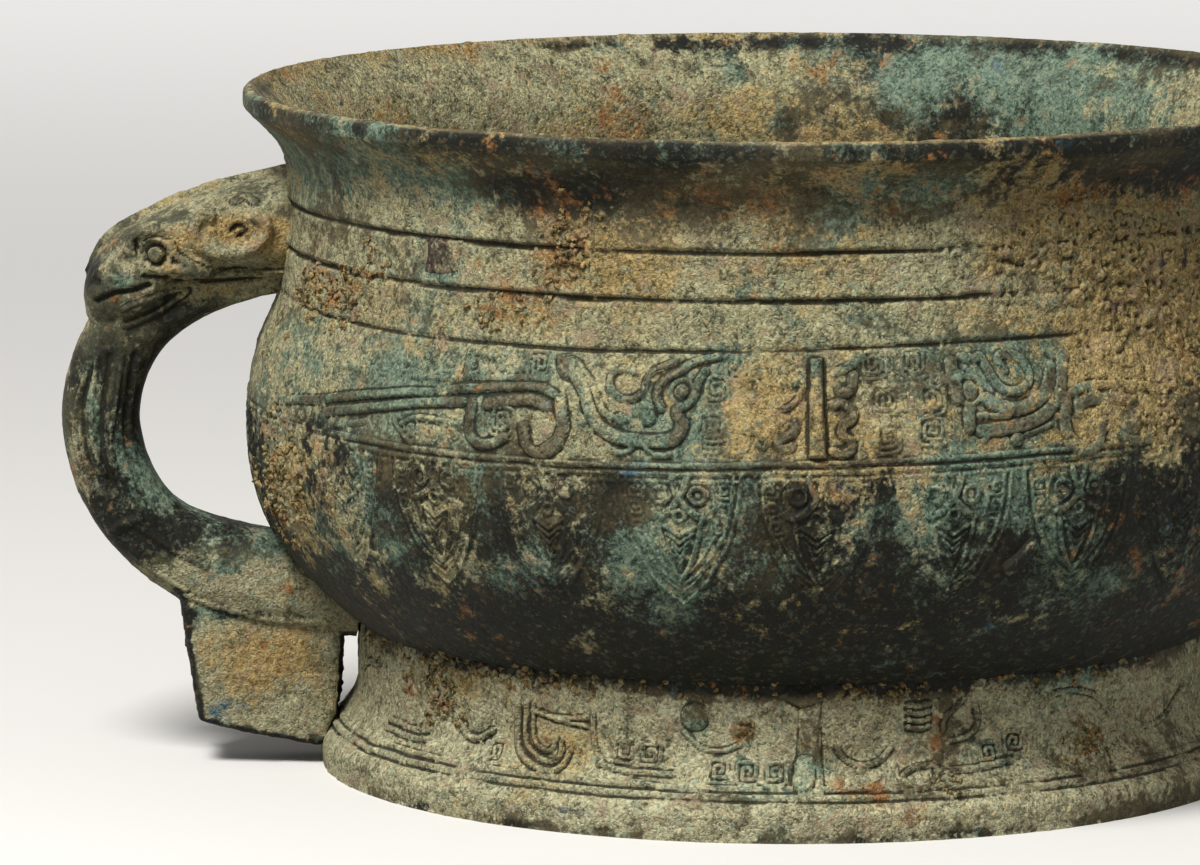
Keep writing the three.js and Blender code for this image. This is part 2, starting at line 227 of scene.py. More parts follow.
CORNERS = [np.array([i, j, k]) for i in (0, 1) for j in (0, 1) for k in (0, 1)]
OCTAVE_TURN = np.array([[0.36, 0.48, -0.8], [-0.8, 0.6, 0.0], [0.48, 0.64, 0.6]])


def noise(places, size, seed, octaves=3):
    """Soft hills from about -1 to 1, the widest of them this many millimetres across."""
    total, weight, share = 0.0, 0.0, 1.0
    for octave in range(octaves):
        places = places @ OCTAVE_TURN
        spot = places / (size * 0.5**octave) + 31.7 * (octave + 1)
        cell = np.floor(spot)
        part = spot - cell
        part = part * part * (3 - 2 * part)
        value = 0.0
        for corner in CORNERS:
            nearness = np.prod(np.where(corner, part, 1 - part), axis=-1)
            value = value + nearness * chance(cell + corner, seed + octave)
        total = total + share * (2 * value - 1)
        weight += share
        share *= 0.55
    return (total / weight * 1.6).astype(np.float32)


def spots(places, size, seed, share):
    """Round dots in a share of the cells: 1 in the middle of a dot, and 0 from its edge on."""
    spot = places @ OCTAVE_TURN / size
    base = np.floor(spot - 0.5)
    best = np.zeros(spot.shape[:-1], np.float32)
    for corner in CORNERS:
        cell = base + corner
        middle = cell + np.stack([chance(cell, seed + k) for k in range(3)], -1)
        reach = 0.2 + 0.3 * chance(cell, seed + 3)
        away = ((spot - middle) ** 2).sum(-1) / reach**2
        found = np.clip(1 - away, 0, 1) * (chance(cell, seed + 4) < share)
        best = np.maximum(best, found)
    return best


def soft_step(value, low, high):
    """0 below low, 1 above high and a smooth rise between."""
    part = np.clip((value - low) / (high - low), 0, 1)
    return part * part * (3 - 2 * part)


sample = noise(np.random.default_rng(1).uniform(0, 100, (4000, 3)), 10, 1)
print("noise spread:", round(float(sample.std()), 2))

# %% [markdown]
# ## The turned outline
#
# The founder's clay model was turned on a wheel, so bowl and foot are outlines spun about the
# axis. An outline knows its radius, its height and the way its face looks at any distance along
# it, because relief is raised square to the face and not straight out from the axis.

# %% Outlines of bowl and foot, in millimetres
HEIGHT = 132.0
RIM_RADIUS = 105.5
LIP_EDGE = 3.4
LIP_ROUND = 0.9
LIP_FLARE = 15.0
LIP_THICKNESS = 1.6
NECK_RADIUS = 97.2
SHOULDER_RADIUS = 98.3
SHOULDER_HEIGHT = 93.5
BELLY_RADIUS = 104.9
BELLY_HEIGHT = 66.0
FLOOR_DROP = 7.5
WALL = 2.8
FOOT_HEIGHT = 28.5
FOOT_TOP_RADIUS = 83.5
FOOT_RADIUS = 90.7
FOOT_BAND = 5.0
FOOT_WAIST = 17.0
FOOT_WALL = 3.0


def bezier(first, second, third, last, steps=60):
    """Points on a cubic curve."""
    t = np.linspace(0, 1, steps + 1)[:, None]
    ends = [np.array(p, float) for p in (first, second, third, last)]
    return ((1 - t) ** 3 * ends[0] + 3 * (1 - t) ** 2 * t * ends[1]
            + 3 * (1 - t) * t**2 * ends[2] + t**3 * ends[3])


class Outline:
    """A line of radius and height, with the direction in which its face looks."""

    GRAIN = 0.1

    def __init__(self, stretches, soften=0.5, side=1):
        raw = np.vstack([np.atleast_2d(np.array(s, float)) for s in stretches])
        moved = np.r_[True, np.hypot(*np.diff(raw, axis=0).T) > 1e-6]
        raw = raw[moved]
        along = np.r_[0, np.cumsum(np.hypot(*np.diff(raw, axis=0).T))]
        even = np.linspace(0, along[-1], int(along[-1] / self.GRAIN) + 1)
        line = np.stack([np.interp(even, along, raw[:, k]) for k in (0, 1)], -1)
        reach = int(soften / self.GRAIN)
        padded = np.pad(line, ((reach, reach), (0, 0)), mode="reflect", reflect_type="odd")
        window = np.ones(2 * reach + 1) / (2 * reach + 1)
        line = np.stack([np.convolve(padded[:, k], window, "valid") for k in (0, 1)], -1)
        self.line = line
        self.along = np.r_[0, np.cumsum(np.hypot(*np.diff(line, axis=0).T))]
        self.length = self.along[-1]
        slope = np.gradient(line, axis=0)
        slope /= np.hypot(*slope.T)[:, None]
        self.face = side * np.stack([slope[:, 1], -slope[:, 0]], -1)

    def at(self, along):
        """Radius, height and the two parts of the face's direction at distances along it."""
        columns = (*self.line.T, *self.face.T)
        return [np.interp(along, self.along, column) for column in columns]

    def reach(self, height):
        """The distance along a rising outline at which it passes a height."""
        return float(np.interp(height, self.line[:, 1], self.along))

    def radius(self, height):
        """The radius of a rising outline at a height."""
        return np.interp(height, self.line[:, 1], self.line[:, 0])


floor_centre = (0.0, FOOT_HEIGHT - FLOOR_DROP)
seat = (FOOT_TOP_RADIUS, FOOT_HEIGHT)
belly = (BELLY_RADIUS, BELLY_HEIGHT)
shoulder = (SHOULDER_RADIUS, SHOULDER_HEIGHT)
neck = (NECK_RADIUS, HEIGHT - LIP_FLARE)
lip_low = (RIM_RADIUS, HEIGHT - LIP_EDGE)
swell_out, swell_up = belly[0] - seat[0], belly[1] - seat[1]
close_in, close_up = shoulder[0] - belly[0], shoulder[1] - belly[1]
neck_rise = neck[1] - shoulder[1]

floor_curve = bezier(floor_centre, (seat[0] * 0.4, floor_centre[1]),
                     (seat[0] * 0.8, seat[1] - FLOOR_DROP * 0.5), seat)
wall_curves = [
    bezier(seat, (seat[0] + swell_out * 0.7, seat[1] + swell_up * 0.3),
           (belly[0], belly[1] - swell_up * 0.4), belly),
    bezier(belly, (belly[0], belly[1] + close_up * 0.6),
           (shoulder[0] - close_in * 0.4, shoulder[1] - close_up * 0.3), shoulder),
    bezier(shoulder, (shoulder[0] - 0.8, shoulder[1] + neck_rise / 3),
           (neck[0] - 0.3, neck[1] - neck_rise / 3), neck),
]
lip_curve = bezier(neck, (neck[0] + 0.6, neck[1] + LIP_FLARE * 0.33),
                   (neck[0] + (RIM_RADIUS - NECK_RADIUS) * 0.5, neck[1] + LIP_FLARE * 0.5), lip_low)
lip_inside = (RIM_RADIUS - LIP_THICKNESS, HEIGHT)
lip_top = [(RIM_RADIUS, HEIGHT - LIP_ROUND), (RIM_RADIUS - LIP_ROUND, HEIGHT), lip_inside]
outer = Outline([*wall_curves, lip_curve, lip_top])

neck_inside = (neck[0] - WALL, neck[1])
mouth_curve = bezier(lip_inside, (lip_inside[0] - LIP_THICKNESS * 2, lip_inside[1] - LIP_FLARE * 0.25),
                     (neck_inside[0] + 0.4, neck_inside[1] + LIP_FLARE * 0.4), neck_inside)
skin_line = Outline([floor_curve, *wall_curves], soften=2.0)
inner_wall = (skin_line.line - skin_line.face * WALL)[::-1]
lining = Outline([mouth_curve, inner_wall[np.hypot(*(inner_wall - neck_inside).T) > 1.0]], soften=1.5)
underside = Outline([floor_curve[::-1]], side=-1)

foot_waist = (FOOT_TOP_RADIUS, FOOT_WAIST)
foot_curve = bezier((FOOT_RADIUS, FOOT_BAND), (FOOT_RADIUS - 1.2, FOOT_BAND + 2.4),
                    (FOOT_TOP_RADIUS + 0.4, FOOT_WAIST - (FOOT_WAIST - FOOT_BAND) * 0.5), foot_waist)
foot_line = np.vstack([[(FOOT_RADIUS, 0)], foot_curve, [(FOOT_TOP_RADIUS, FOOT_HEIGHT)]])
foot_outer = Outline([foot_line], soften=0.6)
foot_inner = Outline([foot_line[::-1] - (FOOT_WALL, 0)], soften=0.6)
rim_in_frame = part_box("bowl")[1].x / MM
print("outline length", round(outer.length, 1), "mm; rim in the frame", round(rim_in_frame, 1), "mm")

# %% [markdown]
# ## Raising ornament on a map
#
# Cast ornament was cut into the clay model while it lay on the wheel, as if on a map wrapped round
# the bowl. Here the map is the vessel's own grid of points, with `u` round it and `v` up it, and
# each stroke lifts the points that lie under it. Displaced points are real shape, so the relief
# shows in outline, in shadow and in the mesh itself, which a bump map can't do.

# %% Relief strokes
STROKE_SOFT = 0.34
STROKE_CURVE = 0.22
MEANDER_CORNER = 0.5
MEANDER_STEP = 22.5
MEANDER_LINE = 0.48


def curve_through(points, steps=5):
    """A smooth line through given points."""
    points = np.array(points, float)
    ends = np.vstack([2 * points[0] - points[1], points, 2 * points[-1] - points[-2]])
    t = np.linspace(0, 1, steps, endpoint=False)[:, None]
    line = []
    for i in range(len(points) - 1):
        a, b, c, d = ends[i : i + 4]
        line.append(0.5 * (2 * b + (c - a) * t + (2 * a - 5 * b + 4 * c - d) * t**2
                           + (3 * b - a - 3 * c + d) * t**3))
    return np.vstack([*line, points[-1:]])


class Relief:
    """Heights in millimetres on a map, raised stroke by stroke."""

    def __init__(self, u, v):
        self.u, self.v = u, v
        self.height, self.cut, self.dust = (np.zeros(u.shape, np.float32) for _ in range(3))

    def near(self, points, margin):
        """Which map points lie in the box round a stroke."""
        low, high = points.min(0) - margin, points.max(0) + margin
        return (self.u > low[0]) & (self.u < high[0]) & (self.v > low[1]) & (self.v < high[1])

    def raise_to(self, value):
        """Raises every point to a height, where it is lower."""
        self.height[:] = np.maximum(self.height, value)

    def lift(self, where, value):
        """Raises the points to a height, where they are lower."""
        if value.size:
            self.height[where] = np.maximum(self.height[where], value)

    def away(self, middle, reach):
        """The points round a middle, and how far each is from it."""
        middle = np.array(middle, float)
        where = self.near(middle[None], reach)
        return where, np.hypot(self.u[where] - middle[0], self.v[where] - middle[1])

    def line(self, points, width, rise, smooth=True, soft=STROKE_SOFT):
        """A raised line with a rounded back."""
        points = curve_through(points) if smooth and len(points) > 2 else np.array(points, float)
        where = self.near(points, width)
        u, v = self.u[where], self.v[where]
        away = np.full(u.shape, 1e6)
        for (u0, v0), (u1, v1) in zip(points[:-1], points[1:]):
            du, dv = u1 - u0, v1 - v0
            part = np.clip(((u - u0) * du + (v - v0) * dv) / (du * du + dv * dv + 1e-9), 0, 1)
            away = np.minimum(away, (u - u0 - part * du) ** 2 + (v - v0 - part * dv) ** 2)
        away = np.sqrt(away)
        back = 1 - STROKE_CURVE * np.clip(2 * away / width, 0, 1) ** 2
        self.lift(where, rise * back * soft_step((width + soft) / 2 - away, 0, soft))

    def dome(self, middle, radius, rise):
        """A round boss."""
        where, away = self.away(middle, radius)
        self.lift(where, rise * np.sqrt(np.clip(1 - (away / radius) ** 2, 0, 1)))

    def ring(self, middle, radius, width, rise):
        """A raised ring."""
        where, away = self.away(middle, radius + width)
        edge = (width + STROKE_SOFT) / 2 - np.abs(away - radius)
        self.lift(where, rise * soft_step(edge, 0, STROKE_SOFT))

    def meander(self, middle, half, pitch, rise, way=1):
        """A spiral with squared turns, the thunder pattern that fills the ground."""
        turns = (half - 0.3) / pitch
        angle = np.arange(0, turns * 360, MEANDER_STEP)
        reach = half - pitch * angle / 360
        side, up = np.cos(np.radians(angle - 135)), np.sin(np.radians(angle - 135))
        side, up = (np.sign(w) * np.abs(w) ** MEANDER_CORNER * reach for w in (side, up))
        points = np.stack([middle[0] + way * side, middle[1] + up], -1)
        self.line(points, pitch * MEANDER_LINE, rise, smooth=False, soft=0.25)


print("strokes: line, dome, ring and meander")

# %% [markdown]
# ## Building a skin
#
# Every turned surface here is one closed shell: a fine grid outside that carries the relief, a
# coarse back just inside it and strips round the edge. The face directions are worked out
# from a grid one row wider than the shell, so that two shells that meet catch the light as one.

# %% A closed shell from an outline
SKIN_BACK = 0.9
BACK_ROWS_EVERY = 6.0
SPREAD_RADIUS = 104.0
LAYER_NAMES = ("dark", "green", "earth", "ochre", "rust", "blue", "crest", "hollow", "nodule")
FINE = 1.0


def write_layers(mesh, layers):
    """Stores a weight for each point and each layer of corrosion."""
    for layer, values in layers.items():
        attribute = mesh.attributes.new(layer, "FLOAT", "POINT")
        attribute.data.foreach_set("value", values.astype(np.float32).ravel())


def mesh_from(name, points, loops, sizes, normals, layers):
    """A mesh object from flat lists of corners, with given face directions and point weights."""
    mesh = bpy.data.meshes.new(name)
    mesh.vertices.add(len(points))
    mesh.vertices.foreach_set("co", (points * MM).astype(np.float32).ravel())
    mesh.loops.add(len(loops))
    mesh.loops.foreach_set("vertex_index", loops.astype(np.int32))
    mesh.polygons.add(len(sizes))
    mesh.polygons.foreach_set("loop_start", np.r_[0, np.cumsum(sizes)[:-1]].astype(np.int32))
    mesh.update(calc_edges=True)
    mesh.validate()
    mesh.shade_smooth()
    mesh.normals_split_custom_set_from_vertices(normals.astype(np.float32).tolist())
    write_layers(mesh, layers)
    return add(name, mesh)


def around(phi, radius, height):
    """A point at an angle from the front, in degrees, a radius and a height."""
    turn = np.radians(phi)
    return np.stack([radius * np.sin(turn), -radius * np.cos(turn), height + 0 * turn], -1)


def skin(name, outline, span, sweep, step, spacing, surface, back=SKIN_BACK, pole=False):
    """A closed shell over a span of an outline and a sweep of angles, with relief on its face.

    An outline that looks the other way, like the underside, is swept the other way round.
    """
    step, spacing = step * FINE, spacing * FINE
    ring = abs(sweep[1] - sweep[0]) >= 360
    rows = max(2, round((span[1] - span[0]) / step))
    columns = round(math.radians(abs(sweep[1] - sweep[0])) * SPREAD_RADIUS / spacing)
    along = span[0] + (span[1] - span[0]) / rows * np.arange(-1, rows + 2)
    turn = (sweep[1] - sweep[0]) / columns
    phi = sweep[0] + turn * np.arange(-1, columns + (1 if ring else 2))
    radius, height, out, up = (row[:, None] for row in outline.at(along))
    phi = phi[None, :]
    nominal = around(phi, radius, height)
    face = around(phi, out, up)
    rise, layers = surface(phi + 0 * radius, height + 0 * phi, nominal)
    fine = nominal + face * rise[..., None]
    normal = np.cross(np.gradient(fine, axis=1), np.gradient(fine, axis=0))
    normal /= np.linalg.norm(normal, axis=-1, keepdims=True) + 1e-12
    fine, normal = fine[1:-1, 1:-1], normal[1:-1, 1:-1]
    tall, wide = fine.shape[:2]
    back_rows = max(2, round((span[1] - span[0]) / BACK_ROWS_EVERY) + 1)
    radius, height, out, up = (row[:, None] for row in outline.at(np.linspace(*span, back_rows)))
    inner_phi = phi[:, 1:-1]
    inner = around(inner_phi, radius - out * back, height - up * back)
    front = np.arange(tall * wide).reshape(tall, wide)
    rear = front.size + np.arange(back_rows * wide).reshape(back_rows, wide)

    def quads(a, b, flip=False):
        """Quads between two lines of corners, joined up where the shell is a ring."""
        if ring:
            a, b = np.c_[a, a[..., :1]], np.c_[b, b[..., :1]]
        four = np.stack([a[..., :-1], a[..., 1:], b[..., 1:], b[..., :-1]], -1).reshape(-1, 4)
        return four[:, ::-1] if flip else four

    faces = [quads(front[:-1], front[1:]), quads(rear[:-1], rear[1:], flip=True),
             quads(rear[:1], front[:1])]
    points = [fine.reshape(-1, 3), inner.reshape(-1, 3)]
    normals = [normal.reshape(-1, 3), -around(inner_phi, out, up).reshape(-1, 3)]
    loops, sizes = [], []
    if pole:
        tip = front.size + rear.size
        for line, point, flip in ((front[-1], tip, False), (rear[-1], tip + 1, True)):
            fan = np.stack([line, np.roll(line, -1), np.full(wide, point)], -1)
            loops.append((fan[:, ::-1] if flip else fan).ravel())
            sizes.append(np.full(wide, 3))
        ends = [(0, 0, fine[-1, :, 2].mean()), (0, 0, inner[-1, :, 2].mean())]
        points.append(np.array(ends))
        way = 1.0 if up[-1, 0] > 0 else -1.0
        normals.append(np.array([(0, 0, way), (0, 0, -way)]))
    else:
        faces.append(quads(front[-1:], rear[-1:]))
    if not ring:
        loops += [np.r_[front[:, 0], rear[::-1, 0]], np.r_[rear[:, -1], front[::-1, -1]]]
        sizes += [np.array([tall + back_rows])] * 2
    faces = np.concatenate(faces)
    loops = np.concatenate([faces.ravel(), *loops])
    sizes = np.concatenate([np.full(len(faces), 4), *sizes])
    points, normals = np.concatenate(points), np.concatenate(normals)
    weights = {layer: np.zeros(len(points), np.float32) for layer in LAYER_NAMES}
    for layer, values in layers.items():
        weights[layer][: front.size] = values[1:-1, 1:-1].ravel()
    made = mesh_from(name, points, loops, sizes, normals, weights)
    print(f"{name}: {tall} x {wide} points, relief up to {rise.max():.2f} mm")
    return made

# %% [markdown]
# ## The ornament
#
# Between the border lines two dragons face an upright ridge, and their ribbon bodies trail away
# to the handles. Below hangs a row of long leaves, each filled with a small insect. All of it is
# the common pattern of its age. The strokes below are in millimetres on the map, with `u` counted
# from the front ridge and `v` from the table. The back of the vessel repeats the front.

# %% Border lines of the neck, the frieze and the leaves
COURSES = (111.6, 102.8)
COURSE_RISE = 0.5
COURSE_SLOPE = 3.0
COURSE_LEAN = 0.35
COURSE_WEAR = 0.25
COURSE_WAVES = (0.047, 0.13)
GROOVE_WIDTH = 1.05
GROOVE_DEPTH = 0.62
FRIEZE_TOP = 93.9
FRIEZE_BOTTOM = 73.1
FRIEZE_COURSE_SHARE = 0.7
FRIEZE_LINES = ((0, 0.9), (1.6, 0.7), (3.0, 0.5))
LINE_RISE = 0.5
LEAN = 1.15
LEAN_LENGTH = 45.0


def lean(u):
    """How far the hand-laid borders stray from level: down on the left and up on the right."""
    return LEAN * np.sin(np.clip(u / LEAN_LENGTH, -math.pi, math.pi))


def band(relief, height, width, stray):
    """1 on a line that runs right round and 0 off it, on a map whose v strays from level."""
    edge = (width + STROKE_SOFT) / 2 - np.abs(relief.v - height - stray)
    return soft_step(edge, 0, STROKE_SOFT)


def level_line(relief, height, width, rise, stray=0.0):
    """A raised line right round."""
    relief.raise_to(rise * band(relief, height, width, stray))


def sunk_line(relief, height, width, depth, stray=0.0):
    """A cut line right round."""
    relief.cut[:] = np.maximum(relief.cut, depth * band(relief, height, width, stray))


def course(relief, height, share, stray, wear_turn):
    """A step that swells down to an edge, with a sunk line under it. Both are worn in places."""
    slow, fast = (relief.u * wave for wave in COURSE_WAVES)
    waves = np.sin(fast + wear_turn) * np.sin(slow + 2 * wear_turn)
    wear = 1 - COURSE_WEAR + COURSE_WEAR * waves
    above = relief.v - height - stray
    lip = soft_step(above, -STROKE_SOFT, 0) * soft_step(COURSE_SLOPE - above, 0, COURSE_SLOPE)
    relief.raise_to(share * COURSE_RISE * wear * lip)
    width = share * GROOVE_WIDTH
    sunk_line(relief, height - STROKE_SOFT - width / 2, width, share * GROOVE_DEPTH * wear, stray)


def draw_neck(relief):
    for number, height in enumerate(COURSES):
        course(relief, height, 1.0, COURSE_LEAN * lean(relief.u), number + 0.6)


def draw_borders(relief):
    course(relief, FRIEZE_TOP, FRIEZE_COURSE_SHARE, lean(relief.u), 2.9)
    for drop, width in FRIEZE_LINES:
        level_line(relief, FRIEZE_BOTTOM - drop, width, LINE_RISE * width, lean(relief.u))


print("courses at", COURSES, "mm, frieze from", FRIEZE_BOTTOM, "to", FRIEZE_TOP, "mm")

# %% Dragons, ridge and trailing bodies of the frieze
BOLD, MEDIUM, FAINT = 0.8, 0.6, 0.4

LEFT_DRAGON = [
    (2.3, BOLD, [(-49.5, 90.1), (-46.1, 87.3), (-43.9, 84.5), (-42.6, 81.6), (-40.5, 78.8), (-36.8, 77.1),
        (-32.8, 76.7), (-28.5, 76.8), (-25.8, 77.7), (-24.6, 79.8)]),
    (1.9, BOLD, [(-50.1, 90.4), (-47.3, 89.8), (-45.3, 88.1)]),
    (1.4, BOLD, [(-48.7, 87.7), (-50, 89.1), (-50.1, 90.4)]),
    (1.2, MEDIUM, [(-46, 89.1), (-43.7, 87.2), (-41.9, 84.6), (-39.9, 81.5), (-37.1, 80.4),
        (-35.3, 80.5)]),
    (1.1, MEDIUM, [(-25.8, 91.5), (-28.3, 90.2), (-30.9, 89.1), (-32.1, 87.5), (-32.7, 85.4),
        (-34.3, 84.1), (-36.6, 84.1), (-38.5, 85.2), (-39.5, 86.8), (-39, 88.4), (-37.6, 89.2),
        (-35.7, 89.3), (-34.7, 88.4)]),
    (1.3, BOLD, [(-28.9, 82.5), (-29.9, 84.5), (-29.5, 86.7), (-27.7, 88.2), (-25.6, 89.3), (-23.7, 90.7),
        (-18.6, 92)]),
    (1.5, BOLD, [(-21.1, 89.2), (-22.3, 87.3), (-22.8, 85.1), (-23.9, 83.5), (-25.8, 82.6)]),
    (1.8, BOLD, [(-24.6, 79.8), (-25.8, 81.6), (-26, 82.4)]),
    (1.1, MEDIUM, [(-37.6, 74.8), (-35.8, 74.4), (-34.3, 75), (-33.5, 76.2)]),
    (1.0, MEDIUM, [(-31.5, 75.7), (-30.4, 74.5), (-28.4, 74.3), (-26.9, 74.6)]),
]
LEFT_DOMES = [(-25.3, 85.6, 1.3), (-31.3, 80.8, 1.5), (-36.6, 80.4, 1.2)]

RIGHT_DRAGON = [
    (2.4, BOLD, [(26.2, 90.4), (26.1, 88.2), (26.4, 85.8), (26.5, 84.2)]),
    (2.0, BOLD, [(24, 87.5), (26.3, 87.6), (27.5, 88.1)]),
    (1.6, BOLD, [(28.8, 91.3), (30.8, 91), (32.4, 91.3), (33.1, 89.5), (34.3, 87.3), (36.1, 85.5),
        (38.4, 85), (40.4, 85.6), (41.8, 87.1), (41.7, 89.1), (40.4, 90.8), (38, 91.6), (36.1, 91.3),
        (35.9, 90.2), (36.8, 88.8)]),
    (2.4, BOLD, [(32.4, 83.9), (34.7, 82.6), (38.3, 81.8), (41.8, 82.7), (44.6, 84.5), (46.1, 86.9),
        (46.6, 89.1)]),
    (2.2, BOLD, [(28.8, 82.1), (28.6, 79)]),
    (2.3, BOLD, [(30.8, 78.3), (34.7, 78.5), (38.9, 78.9), (42.6, 80), (45.8, 82.2), (48, 85.1),
        (49.3, 89.1), (50, 90.7)]),
    (0.9, MEDIUM, [(30.6, 81), (36.6, 80.7)]),
    (1.0, MEDIUM, [(31.2, 76.6), (31.9, 77.4)]),
    (0.8, MEDIUM, [(39.5, 77.2), (42.4, 77.9), (45.1, 78.8)]),
    (0.9, FAINT, [(51.6, 85.3), (50.9, 82.1), (51.4, 79.6), (52.9, 77.6), (55.1, 76.6), (57.5, 77.3)]),
]
RIGHT_DOMES = [(29.1, 85.5, 1.6), (37.8, 76.5, 1.3)]

BESIDE_RIDGE = [
    (1.6, MEDIUM, [(-4, 80.8), (-4.3, 78.9), (-6.5, 77.5), (-7, 76.4), (-5.7, 75.8), (-4.6, 76.2)]),
    (1.0, MEDIUM, [(-7.7, 83.2), (-5.5, 83.2), (-3.5, 84.6), (-2.9, 85.9)]),
    (1.0, FAINT, [(-8.1, 89.9), (-5.5, 89.6), (-3.7, 90.4)]),
    (0.8, FAINT, [(-13, 78.9), (-10.7, 78.3), (-9.1, 76.7), (-9.6, 75.9), (-11.3, 76.4)]),
    (1.8, BOLD, [(7, 88.5), (6.6, 86.6), (5.4, 85.7), (4.4, 86.4)]),
    (1.6, BOLD, [(2.8, 83.5), (4.8, 83.9), (6.6, 82.6), (6.4, 81), (4.7, 80), (4.6, 78.3), (6, 77.2),
        (6, 75.6), (4.3, 74.9), (2.6, 75.5)]),
    (1.5, MEDIUM, [(3.2, 88.9), (5, 89.7), (6.8, 90.6), (8.9, 91.7)]),
]
BESIDE_DOMES = [(-6.5, 87.4, 0.9), (-4.2, 87.1, 0.8), (-12.2, 84.7, 1.0)]

TRAILING = [
    (1.5, BOLD, [(-130.7, 75.4), (-120.7, 76.5), (-107.7, 78.3), (-95, 80.4), (-85.5, 81.7),
        (-77.7, 82.4)]),
    (1.5, BOLD, [(-73.1, 83.2), (-65.3, 84.3), (-59.1, 84.9), (-53.7, 85.1), (-50.3, 84.1)]),
    (1.6, BOLD, [(-107, 75.9), (-97.7, 77.5), (-86.9, 79.3), (-77.2, 80.7), (-69.9, 81.4)]),
    (1.8, BOLD, [(-67.7, 81.5), (-67.6, 78.4), (-67.2, 75.7), (-65, 74.3), (-62, 74.7), (-59.6, 75.9)]),
    (2.0, BOLD, [(-64.2, 81.5), (-58.5, 82.6), (-54.1, 82.8), (-51.5, 82)]),
    (2.0, BOLD, [(-55.8, 77.9), (-55.1, 75.2), (-53.4, 73.6), (-50.7, 73.7), (-48.4, 75.3)]),
    (2.3, BOLD, [(-48.9, 83.3), (-48.3, 80.9), (-47.8, 78.4), (-48.7, 75.9), (-51.2, 74)]),
    (2.0, MEDIUM, [(-70.4, 90.2), (-70, 86.2)]),
    (0.9, FAINT, [(-64.8, 89.8), (-67.6, 89.4), (-67.2, 87.4), (-65.1, 86.5)]),
    (1.6, MEDIUM, [(-136.7, 84.9), (-133, 87.8), (-127.5, 87.4), (-124.2, 84.6), (-123.6, 81.8),
        (-125.8, 79)]),
    (0.8, FAINT, [(-116.1, 89.1), (-113.6, 85.8), (-110.7, 84)]),
    (1.0, FAINT, [(-103.9, 73.7), (-98.3, 74.7), (-93.8, 75.6)]),
    (0.9, MEDIUM, [(-84.2, 76.2), (-81.4, 77.4), (-77.5, 77.7), (-74.2, 77.5)]),
    (0.9, MEDIUM, [(-86.4, 76.7), (-83.7, 74.5), (-81.3, 73)]),
    (0.8, FAINT, [(-105.3, 84.6), (-93.7, 85.4)]),
    (0.8, FAINT, [(-84.6, 84.7), (-77.2, 85.2), (-69.4, 85.9), (-52.5, 87)]),
]
MEANDERS = [(12.7, 84.3), (13.1, 77.6), (18.9, 90.7), (21.7, 84.2), (21.4, 78.8), (10.9, 90.6),
            (-14.5, 89.5), (-18.6, 86.2), (-19.3, 79.6), (-60.6, 78.9), (-54.6, 89.3)]
MEANDER = dict(half=2.9, pitch=1.05, rise=0.42)
FILL_ROWS = ((89.6, -78, -54, 2.5), (77.2, -84, -69, 2.2), (78.6, -62.5, -57, 2.0),
             (90.2, -17, -10, 2.0), (77.4, -22, -12, 2.3), (90.3, 11, 25, 2.2),
             (84.0, 53, 66, 2.3), (90.0, 52, 62, 2.0), (88.6, -118, -84, 2.3))
FILL_GAP, FILL_SLOPE = 0.5, 0.02
FILL = dict(pitch=0.95, rise=0.28)
DOME_RISE = 0.8
EYE_RINGS = [((29.1, 85.5), 2.5, 0.7, 0.5), ((-25.3, 85.6), 2.1, 0.6, 0.45)]
FRIEZE_RIDGE = dict(low=74.3, high=91.6, half_width=1.35, proud=1.9, notches=6)


def draw_strokes(relief, strokes, mirror=1):
    for width, rise, points in strokes:
        relief.line([(mirror * u, v) for u, v in points], width, rise)


def draw_meanders(relief, places, half, pitch, rise):
    """A row of squared spirals, which turn one way and the other by turns."""
    for number, place in enumerate(places):
        relief.meander(place, half, pitch, rise, 1 if number % 2 else -1)


def draw_ridge(relief, low, high, half_width, proud, notches):
    """The upright ridge: a bar with a rounded back that narrows upwards, its notches worn."""
    wave = (relief.v - low) / (high - low) * notches
    half = half_width * (1.1 - 0.3 * np.clip(wave / notches, 0, 1))
    side = soft_step(half + 0.25 - np.abs(relief.u), 0, 0.5)
    ends = soft_step(relief.v, low - 0.3, low + 0.3) * soft_step(high + 0.3 - relief.v, 0, 0.6)
    back = 1 - 0.3 * np.clip(np.abs(relief.u) / half, 0, 1) ** 2
    notch = 1 - 0.07 * soft_step(np.abs(wave % 1 - 0.5), 0.36, 0.44)
    relief.raise_to(proud * side * ends * back * notch)


def draw_frieze(relief):
    draw_strokes(relief, LEFT_DRAGON + RIGHT_DRAGON + BESIDE_RIDGE + TRAILING)
    draw_strokes(relief, TRAILING, mirror=-1)
    for u, v, radius in LEFT_DOMES + RIGHT_DOMES + BESIDE_DOMES:
        relief.dome((u, v), radius, DOME_RISE)
    for eye in EYE_RINGS:
        relief.ring(*eye)
    draw_meanders(relief, MEANDERS, **MEANDER)
    for v, first, last, half in FILL_ROWS:
        count = max(1, round((last - first) / (2 * half + FILL_GAP)))
        across = [first + (last - first) * (number + 0.5) / count for number in range(count)]
        draw_meanders(relief, [(u, v + FILL_SLOPE * u) for u in across], half, **FILL)
    draw_ridge(relief, **FRIEZE_RIDGE)


strokes_in_frieze = len(LEFT_DRAGON + RIGHT_DRAGON + BESIDE_RIDGE) + 2 * len(TRAILING)
print("frieze:", strokes_in_frieze, "strokes,", len(MEANDERS), "squared spirals")

